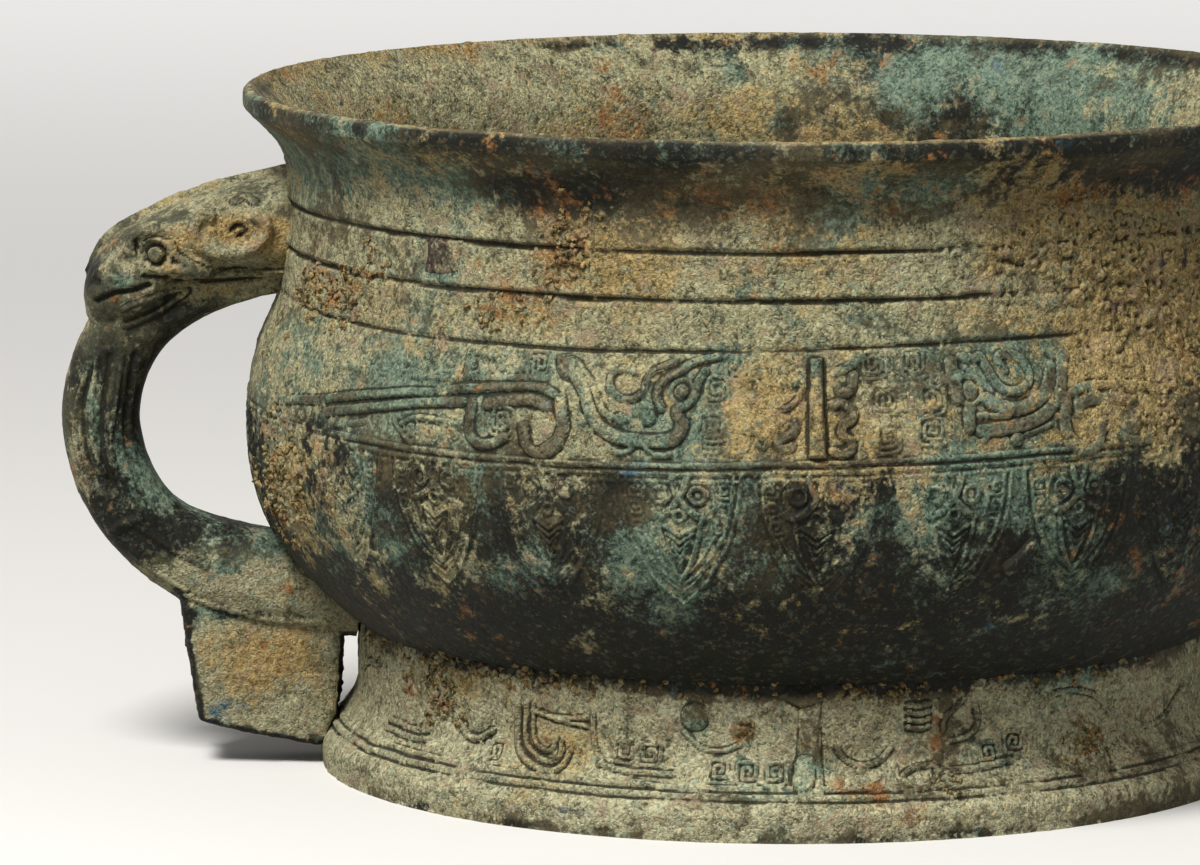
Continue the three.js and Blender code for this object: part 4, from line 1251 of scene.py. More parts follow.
neck_middle = outer.reach(NECK_SPACER_HEIGHT)
on_floor = lining.line[:, 1] < FOOT_HEIGHT + 10
floor_middle = float(np.interp(-FLOOR_SPACER_RADIUS, -lining.line[on_floor, 0],
                               lining.along[on_floor]))
spacer_pieces = {}
for place, line, middle, radius, turns in (
        ("neck", outer, neck_middle, float(outer.radius(NECK_SPACER_HEIGHT)), NECK_SPACER_ANGLES),
        ("floor", lining, floor_middle, FLOOR_SPACER_RADIUS, FLOOR_SPACER_ANGLES)):
    for number, turn in enumerate(turns, 1):
        name = f"{place}_spacer_{number}"
        spacer_pieces[name] = make_spacer(f"{name}_face", line, middle, turn, radius)
print(len(spacer_pieces), "spacer faces")

# %% [markdown]
# ## The handles
#
# Each handle is one hollow casting on two spurs of the bowl: an animal head with a rolled snout,
# ringed eyes and curled horns, a looped body below its jaw and a square pendant like a tail. A
# sculptor would block this out of clay and then cut the details. Here the block-out is a few closed
# forms swept along curves, the Remesh modifier melts them into one skin, and Booleans cut the seat
# on the bowl and the hollow for the clay core. Details are strokes again, on a map of the side.

# %% Closed forms for the block-out
HANDLE_REACH = 36.0
LOOP_DEPTH = 15.0
LOOP_WIDTH = 17.0
ROOT_DEPTH = 19.0
ROOT_WIDTH = 20.0
HEAD_WIDTH = 26.0
HANDLE_WALL = 3.0
LOOP_SQUARENESS = 2.8
HEAD_SQUARENESS = 2.5
HANDLE_RISE = HEIGHT - LIP_FLARE - FOOT_HEIGHT
LOOP_REACH = HANDLE_REACH - LOOP_DEPTH / 2


def beside(shares, reach=HANDLE_REACH):
    """Places beside the bowl, in millimetres, from shares of the handle's reach and rise."""
    return np.array([(BELLY_RADIUS + out * reach, FOOT_HEIGHT + up * HANDLE_RISE)
                     for out, up in shares])


LOOP_LINE = beside([(-0.73, 0.82), (-0.03, 0.79), (0.51, 0.72), (0.86, 0.607), (1, 0.446),
                    (0.87, 0.282), (0.545, 0.164), (-0.03, 0.09), (-0.8, 0.06)], LOOP_REACH)
CROWN_LINE = beside([(-0.58, 1.02), (-0.19, 0.984), (0.2, 0.941), (0.53, 0.887), (0.765, 0.823),
                     (0.87, 0.74), (0.861, 0.668)])
JAW_LINE = beside([(-0.58, 0.772), (-0.19, 0.768), (0.14, 0.767), (0.335, 0.756), (0.46, 0.693),
                   (0.585, 0.65), (0.737, 0.645)])
HEAD_SHARES = [0.86, 0.93, 1, 1, 0.93, 0.76, 0.5]
PENDANT_OUTLINE = [(118.5, 34.2), (114.5, 8.4), (90.7, 3.4), (88, 10.4), (86.5, 28.5)]
PENDANT_WIDTH = 15.0
PENDANT_BEVEL = 1.3


def solid(name, points, faces, bevel=0.0):
    """A closed mesh object in millimetres turned metres, with its faces turned outwards."""
    mesh = bpy.data.meshes.new(name)
    mesh.from_pydata([tuple(p) for p in np.array(points) * MM], [], faces)
    work = bmesh.new()
    work.from_mesh(mesh)
    if bevel:
        bmesh.ops.bevel(work, geom=work.edges[:], offset=bevel * MM, segments=2, affect="EDGES",
                        profile=0.6)
    bmesh.ops.recalc_face_normals(work, faces=work.faces[:])
    work.to_mesh(mesh)
    work.free()
    return add(name, mesh)


def lofted(name, rings):
    """A closed form through rings of points, one after another, with both ends capped."""
    count, sides = rings.shape[:2]
    faces = [list(range(sides)), list(range((count - 1) * sides, count * sides))]
    for i in range(count - 1):
        for j in range(sides):
            k = (j + 1) % sides
            faces.append((i * sides + j, i * sides + k, (i + 1) * sides + k, (i + 1) * sides + j))
    return solid(name, rings.reshape(-1, 3), faces)


def rounded_square(sides, squareness):
    """Points round a square with rounded corners, from -1 to 1 each way. Squareness 2 is a circle."""
    angle = np.linspace(0, 2 * math.pi, sides, endpoint=False)
    return [np.sign(w) * np.abs(w) ** (2 / squareness) for w in (np.cos(angle), np.sin(angle))]


def sweep_form(name, line, half_out, half_side, squareness=2.0, side_at=0.0, sides=32):
    """A form swept along a line in the handle's mid-plane."""
    line = np.asarray(line, float)
    along = np.gradient(line, axis=0)
    along /= np.hypot(*along.T)[:, None]
    half_out, half_side, side_at = (np.zeros((len(line), 1)) + np.reshape(value, (-1, 1))
                                    for value in (half_out, half_side, side_at))
    bulge_out, bulge_side = rounded_square(sides, squareness)
    out = half_out * bulge_out
    x = line[:, :1] - along[:, 1:] * out
    z = line[:, 1:] + along[:, :1] * out
    return lofted(name, np.stack([x, side_at + half_side * bulge_side, z], -1))


def egg(name, middle, radii, steps=14):
    """A rounded lump."""
    tall = np.sin(np.linspace(0, math.pi, steps + 1)) + 1e-3
    line = [(middle[0], middle[2] + radii[2] * w) for w in np.cos(np.linspace(0, math.pi, steps + 1))]
    return sweep_form(name, line, radii[0] * tall, radii[1] * tall, 2.0, middle[1], 20)


def loop_forms(skin_depth=0.0, steps=10):
    """The looped body, or with a skin depth the hollow inside it."""
    line = curve_through(LOOP_LINE, steps)
    share = soft_step(np.linspace(0, 1, len(line)), 0.68, 0.9)
    depth = LOOP_DEPTH + (ROOT_DEPTH - LOOP_DEPTH) * share - 2 * skin_depth
    width = LOOP_WIDTH + (ROOT_WIDTH - LOOP_WIDTH) * share - 2 * skin_depth
    return line, depth / 2, width / 2


print("handle rise", HANDLE_RISE, "mm, loop line", len(LOOP_LINE), "points")

# %% Block-out, remesh and cuts
HANDLE_GRAIN = 0.46
SEAT_SINK = 0.5
FOOT_CLEAR = 0.9
LIP_CLEAR = 6
SEAT_EVERY, FOOT_EVERY = 12, 8
BRIDGE_HEIGHT = 10.0
EYE = (122.2, 100.7)
KEEL_LINE = [(135.2, 95.5), (131.6, 102.3), (123.7, 107.2), (112, 111.9), (101, 114.6), (90, 116.8)]
BROW_LINE = [(127.5, 100.6), (125.6, 104.2), (121.4, 105.6), (117.2, 104.2), (114.2, 101.0)]
HORN_LINE = [(110.9, 107.6), (113.2, 108.4), (114.9, 105.6), (113.8, 102.4), (110.2, 101.0),
             (105.6, 101.2), (101.6, 103.6), (101.2, 107.0), (103.6, 108.6)]


def block_out():
    """The closed forms of one handle, on the vessel's right."""
    line, half_out, half_side = loop_forms()
    crown, jaw = curve_through(CROWN_LINE, 6), curve_through(JAW_LINE, 6)
    widths = np.interp(np.linspace(0, 6, len(crown)), range(7), HEAD_SHARES) * HEAD_WIDTH / 2
    count = len(PENDANT_OUTLINE)
    points = [(x, way * PENDANT_WIDTH / 2, z) for way in (-1, 1) for x, z in PENDANT_OUTLINE]
    faces = [list(range(count)), list(range(count, 2 * count))]
    faces += [(i, (i + 1) % count, (i + 1) % count + count, i + count) for i in range(count)]
    forms = [sweep_form("loop", line, half_out, half_side, LOOP_SQUARENESS),
             head_form(crown, jaw, widths),
             solid("pendant", points, faces, PENDANT_BEVEL),
             egg("snout roll", (132.4, 0, 92.6), (3.9, 8.6, 4.4)),
             egg("chin", (129.6, 0, 88.2), (4.0, 6.2, 2.9)),
             sweep_form("keel", curve_through(KEEL_LINE, 8), 1.3, 1.3)]
    for way in (-1, 1):
        forms += [sweep_form("brow", curve_through(BROW_LINE, 6), 1.5, 1.6, 2.0, way * 11.3, 14),
                  sweep_form("horn", curve_through(HORN_LINE, 6), 1.25, 1.5, 2.0, way * 12.6, 14),
                  egg("eye", (EYE[0], way * 11.0, EYE[1]), (2.7, 2.4, 2.7)),
                  egg("cheek", (116.5, way * 10.0, 98.6), (6.0, 3.2, 3.0)),
                  egg("nostril", (132.8, way * 4.6, 94.6), (2.6, 2.2, 2.2))]
    return forms


def head_form(crown, jaw, half_widths, sides=36):
    """The head between its crown and its jaw."""
    lift, side = rounded_square(sides, HEAD_SQUARENESS)
    place = (crown + jaw)[:, None] / 2 + (crown - jaw)[:, None] / 2 * lift[None, :, None]
    width = half_widths[:, None] * side[None, :]
    return lofted("head", np.stack([place[..., 0], width, place[..., 1]], -1))


def turned_cutter(name, line, sides=160):
    """A solid of revolution about the vessel's axis, from a rising line of radius and height."""
    angle = np.linspace(0, 2 * math.pi, sides, endpoint=False)
    points = [[(r * math.cos(a), r * math.sin(a), z) for a in angle] for r, z in line]
    return lofted(name, np.array(points))


def cut(target, cutters):
    """Takes the cutters away from the target and gives plain mesh back."""
    for cutter in cutters:
        change = target.modifiers.new("cut", "BOOLEAN")
        change.operation = "DIFFERENCE"
        change.solver = "MANIFOLD"
        change.object = cutter
    bake(target)
    for cutter in cutters:
        bpy.data.objects.remove(cutter)


def bake(target):
    """Turns a live modifier stack into plain mesh."""
    evaluated = target.evaluated_get(bpy.context.evaluated_depsgraph_get())
    mesh = bpy.data.meshes.new_from_object(evaluated)
    target.modifiers.clear()
    target.data = mesh


def melt(name, forms, voxel):
    """Melts overlapping closed forms into one skin."""
    points, faces, offset = [], [], 0
    for form in forms:
        points += [tuple(v.co) for v in form.data.vertices]
        faces += [[offset + i for i in p.vertices] for p in form.data.polygons]
        offset = len(points)
        bpy.data.objects.remove(form)
    mesh = bpy.data.meshes.new(name)
    mesh.from_pydata(points, [], faces)
    made = add(name, mesh)
    change = made.modifiers.new("melt", "REMESH")
    change.mode = "VOXEL"
    change.voxel_size = voxel * MM
    soften = made.modifiers.new("soften", "SMOOTH")
    soften.factor = 0.5
    soften.iterations = 3
    bake(made)
    return made


def make_blank():
    """One handle without its fine detail, seated and hollow."""
    blank = melt("handle", block_out(), HANDLE_GRAIN * FINE)
    seat_line = outer.line[::SEAT_EVERY] - outer.face[::SEAT_EVERY] * SEAT_SINK
    seat_line = seat_line[seat_line[:, 1] < HEIGHT - LIP_CLEAR]
    foot_side, foot_face = foot_outer.line[::FOOT_EVERY], foot_outer.face[::FOOT_EVERY]
    clear = FOOT_CLEAR * soft_step(foot_side[:, 1], BRIDGE_HEIGHT - 1.5, BRIDGE_HEIGHT + 1.5) - 0.3
    foot_side = foot_side + foot_face * clear[:, None]
    foot_side = np.vstack([[(foot_side[0, 0], -2.0)], foot_side])
    line, half_out, half_side = loop_forms(HANDLE_WALL, 6)
    hollow = sweep_form("hollow", line, half_out, half_side, LOOP_SQUARENESS, sides=24)
    cut(blank, [turned_cutter("bowl body", seat_line), turned_cutter("foot body", foot_side), hollow])
    return blank


blank = make_blank()
print("blank handle:", len(blank.data.vertices), "points")

# %% Details of the head, the loop and the pendant
HANDLE_RAISED = [
    (1.3, 1.0, [(119.4, 102.9), (118.1, 100.4), (115.4, 98.8), (113.2, 97.8)]),
    (1.2, 0.9, [(107.1, 110.6), (104.9, 111.5), (103, 110.3)]),
    (1.6, 1.3, [(121.5, 97.6), (118.5, 98.2), (113.6, 97.2), (108.8, 96.7), (102.4, 96.4), (97.6, 96.4)]),
    (1.1, 1.0, [(128.7, 89.7), (127.1, 90.6), (122.9, 92.2), (118.4, 93.2), (116.5, 92.8), (118.4, 91.4),
        (120.4, 89.9), (124.2, 88), (128.1, 86.4)]),
    (0.8, 0.7, [(136.2, 76.6), (137.8, 70.8), (138.1, 65.1), (137.2, 59.4), (134.8, 54.4)]),
    (0.8, 0.8, [(133.6, 80.4), (134.7, 73.7), (135.1, 68), (134.4, 62.3), (132.3, 57.3)]),
    (0.8, 0.7, [(129, 80.4), (130.1, 72.3), (131.2, 65.1), (130.8, 59.4), (129, 54.4), (124.6, 47.3)]),
    (0.8, 0.6, [(123.6, 80.3), (125.0, 73.5), (125.2, 67.6), (124.2, 61.6), (121.2, 53.8), (116.6, 48.9),
        (110.5, 46.4)]),
    (1.5, 1.0, [(131.4, 46.2), (128.9, 47.6), (126.2, 48.6)]),
    (1.1, 0.7, [(126.4, 47.6), (120.2, 43.2), (112.9, 39.5)]),
    (1.1, 0.6, [(127.2, 42.3), (123.1, 38.6), (116.9, 34.8)]),
    (1.2, 0.6, [(118.4, 34.4), (113.7, 32.3), (109, 30.9), (99.5, 28.6), (90, 28.2)]),
]
HANDLE_CUTS = [
    (1.0, 0.6, [(134.9, 78.3), (136.3, 72.4), (136.6, 66.4), (135.7, 60.6), (133.4, 55.8)]),
    (1.3, 0.7, [(131.2, 80.6), (132.4, 73.2), (133.1, 66.6), (132.5, 60.6), (130.6, 55.4)]),
    (1.3, 0.7, [(126.4, 80.8), (127.6, 73), (128.2, 66.4), (127.5, 60.4), (125.1, 53.6)]),
    (1.2, 1.3, [(133.9, 91.2), (131.2, 92.5), (129.8, 93.0), (126.7, 93.5), (123.6, 94.6)]),
    (1.0, 1.0, [(125.9, 103.4), (125.4, 100.9), (124.2, 98.4)]),
    (1.0, 0.9, [(107.8, 105.4), (106.2, 106.4), (104.9, 105.2), (106.2, 104.2)]),
    (1.1, 0.9, [(124.4, 96.4), (120.4, 96.0), (117.2, 95.2), (110, 94.9), (102, 94.6)]),
]
THROAT = [(98.3, 94.4), (106, 93.6), (113, 92.8), (118.6, 91.0)]
SIDE_FROM, SIDE_FULL = 0.3, 0.65
HANDLE_ZONES = [(26, "tail"), (35, "tail"), (44, "loop"), (80, "loop"), (89, "head")]
HANDLE_PATCHES = {
    "green": [(106, 98.4, 2.2, 1.6, 1.1), (128.6, 95.2, 2.2, 2.2, 1.1), (112, 36.5, 4.5, 3.5, 0.6),
        (92.5, 10.7, 3.5, 3, 0.6), (108, 10, 6, 2.6, 0.7), (134.5, 72, 1.6, 12, 0.5),
        (124, 56, 4, 6, 0.4), (130, 86, 4, 3, 0.3)],
    "earth": [(100, 34, 14, 6, 0.3), (108, 106, 12, 7, 0.15), (104, 22, 10, 8, 0.25),
        (138, 62, 3, 14, 0.25)],
    "ochre": [(107.5, 105.5, 3, 2.4, 0.7), (99, 105, 4, 4, 0.6), (118, 103.5, 4, 3, 0.35),
        (104, 20, 12, 7, 0.4), (96, 98, 4, 6, 0.5)],
    "rust": [(133.5, 95, 3.5, 4, 0.26), (130.1, 91.9, 0.9, 0.9, 0.9), (97.4, 34.6, 2.4, 2.0, 0.5),
        (102, 24, 1.2, 1.2, 0.6), (98.8, 19, 1.4, 1.4, 0.6), (130, 101.5, 5, 2.2, 0.36)],
    # Dark patches, mostly dark bronze. The ones under the jaw, from 84 to 89.5 mm, are partly painted
    # shade in the throat, and the band at 30 mm is painted shadow under the loop's root.
    "dark": [(135.5, 95.5, 2.0, 3.5, 0.5), (112, 89.5, 12, 2.0, 0.35), (121, 88.5, 4.0, 2.5, 0.4),
        (127, 66, 3.0, 16, 0.3), (118, 84, 8, 4.0, 0.3), (123, 46, 8, 5, 0.35),
        (106, 30.0, 13, 1.5, 0.9)],
    "nodule": [(88.5, 13, 2.2, 7, 0.8)],
    "ruin": [(100, 36, 12, 7, 0.35), (104, 16, 10, 9, 0.3)],
    "blue": [(111, 10.5, 2.6, 2.2, 0.6), (106, 12.5, 2.6, 2.0, 0.5)],
}
PENDANT_EDGE = 3.0
CROWN_BAND = [(135.5, 95.5), (132.5, 100.2), (127.8, 103.8), (122.0, 106.4), (116.6, 108.4)]
PALE_RIDGE = 0.24
HOLLOW_MARGIN = 0.4
NOSTRIL = (133.9, 95.0)
EYE_RIM, EYE_GROOVE = (2.9, 0.8, 1.0), (1.9, 0.7, 0.9)
PUPIL, NOSTRIL_HOLE = (1.5, 0.8), (1.0, 1.1)


def neighbour_mean(mesh, rounds):
    """Gives a function that averages a value over each point's neighbours, a few rounds over."""
    ends = np.empty(2 * len(mesh.edges), np.int32)
    mesh.edges.foreach_get("vertices", ends)
    a, b = ends.reshape(-1, 2).T
    count = len(mesh.vertices)
    degree = np.bincount(a, minlength=count) + np.bincount(b, minlength=count)

    def mean(value):
        for _ in range(rounds):
            total = np.bincount(a, value[b], count) + np.bincount(b, value[a], count)
            value = 0.5 * value + 0.5 * total / np.maximum(degree, 1)
        return value

    return mean


def read_mesh(mesh):
    """Points in millimetres and face directions at them."""
    count = len(mesh.vertices)
    points, normals = np.empty(3 * count, np.float32), np.empty(3 * count, np.float32)
    mesh.vertices.foreach_get("co", points)
    mesh.vertex_normals.foreach_get("vector", normals)
    return points.reshape(-1, 3) / MM, normals.reshape(-1, 3)


def inside_hollow(points):
    """Which points lie on the wall of the hollow, and so get no detail."""
    line, half_out, half_side = loop_forms(HANDLE_WALL, 6)
    flat = points[:, [0, 2]]
    gap = ((flat[:, None] - line[None]) ** 2).sum(-1)
    nearest = gap.argmin(1)
    reach = np.sqrt(gap[np.arange(len(flat)), nearest])
    in_plane = reach < half_out[nearest] + HOLLOW_MARGIN
    return in_plane & (np.abs(points[:, 1]) < half_side[nearest] + HOLLOW_MARGIN)


def finish_handle(name, way):
    """Copies the blank, turns it to its side of the bowl and cuts the details into it."""
    mesh = blank.data.copy()
    points, normals = read_mesh(mesh)
    reach, height = points[:, 0], points[:, 2]
    side = soft_step(np.abs(normals[:, 1]), SIDE_FROM, SIDE_FULL)
    raised, sunk, throat, rim = (Relief(reach, height) for _ in range(4))
    draw_strokes(raised, HANDLE_RAISED)
    draw_strokes(sunk, HANDLE_CUTS)
    raised.ring(EYE, *EYE_RIM)
    sunk.ring(EYE, *EYE_GROOVE)
    raised.dome(EYE, *PUPIL)
    sunk.dome(NOSTRIL, *NOSTRIL_HOLE)
    throat.line(THROAT, 4.6, 1.5, soft=2.0)
    relief = (raised.height - sunk.height - throat.height) * side
    seat = np.hypot(points[:, 0], points[:, 1]) < outer.radius(height) - SEAT_SINK + 0.15
    free = ~(inside_hollow(points) | ((height > FOOT_HEIGHT) & seat))
    turned = points * (way, way, 1)
    near = neighbour_mean(mesh, 6)
    rise, layers = corrode(relief, reach, height, turned, HANDLE_ZONES, near, HANDLE_PATCHES)
    layers["crest"] = layers["crest"] * side
    # Painted shade darkens the pendant's outer and lower edges and, below 30 mm, the faces that don't
    # look sideways; the band over the crown is dark bronze.
    rim.line(PENDANT_OUTLINE[:3], PENDANT_EDGE, 0.75, smooth=False, soft=2.4)
    rim.line(CROWN_BAND, 1.6, 0.5, soft=4.0)
    edge = np.maximum(rim.height, soft_step(30 - height, 0, 4) * (1 - side))
    layers["dark"] = layers["dark"] + edge
    for layer in ("earth", "green", "ochre"):
        layers[layer] = layers[layer] - edge
    ridge = soft_step(raised.height, 0.2, 0.6) * side * soft_step(84 - height, 0, 6)
    layers["earth"] = layers["earth"] + PALE_RIDGE * ridge
    rise = np.where(free, rise, 0)
    fresh = (turned + normals * (way, way, 1) * rise[:, None]) * MM
    mesh.vertices.foreach_set("co", fresh.astype(np.float32).ravel())
    mesh.shade_smooth()
    write_layers(mesh, {layer: np.where(free, layers[layer], 0) for layer in LAYER_NAMES})
    mesh.update()
    made = add(name, mesh)
    print(f"{name}: {len(points)} points, {int(free.sum())} of them on the outside")
    return made


handle_pieces = {"handle_right": finish_handle("handle_right_cast", 1),
                 "handle_left": finish_handle("handle_left_cast", -1)}
bpy.data.objects.remove(blank)

# %% [markdown]
# ## The corroded skin
#
# Buried bronze turns brown first, then green where copper salts bloom, tan where burial earth has
# set hard, and orange where iron has stained it. The same layers lie on the bowl, the foot and the
# handles, so they are one node group. Each mesh carries weights for where a layer lies. The group
# breaks every layer up into grains of sand with cells and noise, because a real patina is mottled
# down to half a millimetre, and gives back a colour, a roughness, a metal share and a height.

# %% Patina node group
LAYERS = [layer.title() for layer in LAYER_NAMES if layer != "nodule"]
LAYER_TONES = {
    "Base": ((0.02, 0.017, 0.009, 1), (0.19, 0.158, 0.084, 1)),
    "Dark": ((0.003, 0.003, 0.002, 1), (0.015, 0.016, 0.011, 1)),
    "Green": ((0.02, 0.048, 0.035, 1), (0.255, 0.345, 0.245, 1)),
    "Earth": ((0.068, 0.063, 0.033, 1), (0.545, 0.515, 0.295, 1)),
    "Ochre": ((0.09, 0.062, 0.02, 1), (0.57, 0.425, 0.18, 1)),
    "Rust": ((0.05, 0.024, 0.01, 1), (0.36, 0.165, 0.055, 1)),
    "Blue": ((0.008, 0.03, 0.055, 1), (0.085, 0.18, 0.24, 1)),
    "Crest": ((0.028, 0.023, 0.014, 1), (0.17, 0.15, 0.092, 1)),
}
# Near black for the hollows: partly dirt, partly painted shade.
HOLLOW_DIRT_AND_SHADE_TONE = (0.012, 0.011, 0.007, 1.0)
# Pale specks: partly mineral grains, partly painted glints.
PALE_SPECK_AND_GLINT_TONE = (0.56, 0.6, 0.48, 1.0)
GRIT_TONE = (0.014, 0.012, 0.008, 1.0)
BLUSH_TONE = (0.36, 0.25, 0.165, 1.0)
SAND_SCALE = 2400.0
CRUMB_SCALE = 1100.0
GRAIN_BEND = (0.0018, 0.0018, 0.0018)


def noise_node(tree, coordinates, scale, detail=4.0, roughness=0.6, distortion=0.0, output="Fac"):
    """A three dimensional noise on the object's own coordinates."""
    return node(tree, "ShaderNodeTexNoise", {
        "Scale": scale, "Detail": detail, "Roughness": roughness, "Distortion": distortion,
        "Vector": coordinates}).outputs[output]


def ease(tree, value, low, high, to_low=0.0, to_high=1.0, kind="SMOOTHSTEP"):
    """A soft step from low to high."""
    return node(tree, "ShaderNodeMapRange", {
        "From Min": low, "From Max": high, "To Min": to_low, "To Max": to_high, "Value": value},
        interpolation_type=kind).outputs["Result"]


def combine(tree, operation, first, second):
    """One arithmetic step between two sockets, or a socket and a number."""
    return node(tree, "ShaderNodeMath", {0: first, 1: second}, operation=operation).outputs[0]


def weighted(tree, parts):
    """The sum of sockets, each times a share."""
    total = None
    for source, share in parts:
        part = combine(tree, "MULTIPLY", source, share)
        total = part if total is None else combine(tree, "ADD", total, part)
    return total


def blend_colour(tree, factor, first, second):
    """Mixes two colours, each a socket or a plain colour."""
    return node(tree, "ShaderNodeMix", {0: factor, 6: first, 7: second}, data_type="RGBA").outputs[2]


def grain_cells(tree, coordinates, scale):
    """Random values per grain, three of them, and the distance from the grain's middle."""
    made = node(tree, "ShaderNodeTexVoronoi", {"Scale": scale, "Vector": coordinates})
    split = node(tree, "ShaderNodeSeparateColor", {"Color": made.outputs["Color"]})
    return (*(split.outputs[c] for c in ("Red", "Green", "Blue")), made.outputs["Distance"])


def make_patina_group():
    """The shared layers of corrosion, as one shader node group."""
    group = bpy.data.node_groups.new("patina", "ShaderNodeTree")
    face = group.interface
    for layer in LAYERS:
        face.new_socket(layer, in_out="INPUT", socket_type="NodeSocketFloat")
    for layer, tones in LAYER_TONES.items():
        for shade, tone in zip(("Deep", "Pale"), tones):
            made = face.new_socket(f"{layer} {shade}", in_out="INPUT", socket_type="NodeSocketColor")
            made.default_value = tone
    for output in ("Color", "Roughness", "Metallic", "Height"):
        kind = "NodeSocketColor" if output == "Color" else "NodeSocketFloat"
        face.new_socket(output, in_out="OUTPUT", socket_type=kind)
    given = node(group, "NodeGroupInput").outputs
    place = node(group, "ShaderNodeTexCoord").outputs["Object"]

    def hills(scale, detail, roughness, distortion=0.0):
        """Noise, spread out to fill the range from 0 to 1."""
        return ease(group, noise_node(group, place, scale, detail, roughness, distortion), 0.3, 0.7,
                    kind="LINEAR")

    broad = hills(45.0, 5.0, 0.62, 0.4)
    scab = hills(105.0, 7.0, 0.7, 0.6)
    middle = hills(260.0, 5.0, 0.66, 0.3)
    fine = hills(900.0, 4.0, 0.7)
    wobble = noise_node(group, place, 620.0, 3.0, 0.6, output="Color")
    bent = node(group, "ShaderNodeVectorMath", {0: wobble, 1: GRAIN_BEND, 2: place},
                operation="MULTIPLY_ADD").outputs[0]
    sand, sand_two, sand_three, sand_away = grain_cells(group, bent, SAND_SCALE)
    crumb, crumb_two, crumb_three, crumb_away = grain_cells(group, bent, CRUMB_SCALE)
    speckle = weighted(group, [(sand, 0.26), (crumb, 0.09), (fine, 0.25), (middle, 0.21),
                               (scab, 0.19)])
    earthy = ease(group, speckle, 0.3, 0.68, kind="LINEAR")
    drift = weighted(group, [(sand, 0.16), (crumb, 0.06), (broad, 0.3), (scab, 0.26), (fine, 0.22)])
    cloudy = ease(group, drift, 0.24, 0.76, kind="LINEAR")

    def tone(layer, shade):
        return blend_colour(group, shade, given[f"{layer} Deep"], given[f"{layer} Pale"])

    def mask(layer, parts, reach, width):
        """Where a layer lies: its weight, broken up by a sum of grains and hills."""
        spread = combine(group, "SUBTRACT", weighted(group, parts), 0.5)
        spread = combine(group, "MULTIPLY", spread, reach)
        return ease(group, combine(group, "ADD", given[layer], spread), 0.5 - width, 0.5 + width)

    def cover(under, factor, share, over):
        return blend_colour(group, combine(group, "MULTIPLY", factor, share), under, over)

    dark = mask("Dark", [(broad, 0.34), (scab, 0.32), (middle, 0.2), (fine, 0.14)], 1.15, 0.26)
    green = mask("Green", [(scab, 0.38), (middle, 0.28), (fine, 0.26), (sand_three, 0.08)], 1.3, 0.24)
    ochre = mask("Ochre", [(broad, 0.45), (middle, 0.4), (crumb_three, 0.15)], 1.05, 0.28)
    earth = mask("Earth", [(scab, 0.34), (middle, 0.36), (fine, 0.24), (sand_two, 0.06)], 1.2, 0.2)
    crest = mask("Crest", [(fine, 0.45), (scab, 0.55)], 1.1, 0.22)
    rust = mask("Rust", [(scab, 0.3), (middle, 0.5), (crumb_two, 0.2)], 1.35, 0.18)
    blue = mask("Blue", [(scab, 0.6), (crumb_three, 0.4)], 1.2, 0.22)
    soil = blend_colour(group, ochre, tone("Earth", earthy), tone("Ochre", earthy))
    blush = ease(group, hills(170.0, 6.0, 0.68, 0.5), 0.55, 0.85, 0.0, 0.55)
    soil = blend_colour(group, blush, soil, BLUSH_TONE)
    colour = tone("Base", cloudy)
    for factor, share, over in ((dark, 1.0, tone("Dark", earthy)), (green, 0.86, tone("Green", earthy)),
                                (earth, 0.94, soil), (crest, 0.92, tone("Crest", earthy)),
                                (rust, 0.92, tone("Rust", earthy)), (blue, 0.9, tone("Blue", cloudy))):
        colour = cover(colour, factor, share, over)
    soiled = combine(group, "ADD", combine(group, "MULTIPLY", earth, 0.75), 0.25)
    # Green and ochre grains, and pale specks that are partly mineral grains and partly painted glints.
    for source, low, share, speck in ((crumb_two, 0.92, 0.4, given["Green Pale"]),
                                      (crumb_three, 0.93, 0.35, given["Ochre Pale"]),
                                      (sand_three, 0.94, 0.3, PALE_SPECK_AND_GLINT_TONE)):
        found = combine(group, "MULTIPLY", ease(group, source, low, low + 0.05), soiled)
        colour = cover(colour, found, share, speck)
    grit = ease(group, combine(group, "SUBTRACT", sand_two, combine(group, "MULTIPLY", fine, 0.25)),
                -0.12, 0.08, 0.5, 0.0)
    colour = blend_colour(group, grit, colour, GRIT_TONE)
    # Recesses go towards near black: partly dirt in them, partly painted shade where the relief would
    # shade itself.
    hollow_dirt_and_shade = ease(group, given["Hollow"], 0.1, 0.9, 0.0, 0.88)
    colour = blend_colour(group, hollow_dirt_and_shade, colour, HOLLOW_DIRT_AND_SHADE_TONE)
    rough = weighted(group, [(earth, 0.16), (green, 0.08), (crest, -0.22), (fine, 0.1)])
    height = weighted(group, [(fine, 0.34), (sand, 0.16), (sand_away, -0.3), (crumb_away, -0.26),
                              (grit, -0.2)])
    node(group, "NodeGroupOutput", {
        "Color": colour, "Roughness": combine(group, "ADD", rough, 0.62),
        "Metallic": combine(group, "MULTIPLY", crest, 0.5),
        "Height": combine(group, "MULTIPLY", height, soiled)})
    return group


patina = make_patina_group()
print("patina group:", len(patina.nodes), "nodes")

# %% [markdown]
# ## The finishes
#
# Bowl, foot and handle are one alloy, so they share the group and differ only in a few tones. The
# spacers are a leaner bronze and corrode darker. The clay core inside each handle is fired earth.
# A skin gives the group its weights by named attributes. A solid of the frame has none, so its
# finish has plain weights.

# %% Materials
BUMP_STRENGTH = 0.85
BUMP_REACH = 0.75
BRONZE_SPECULAR = 0.16


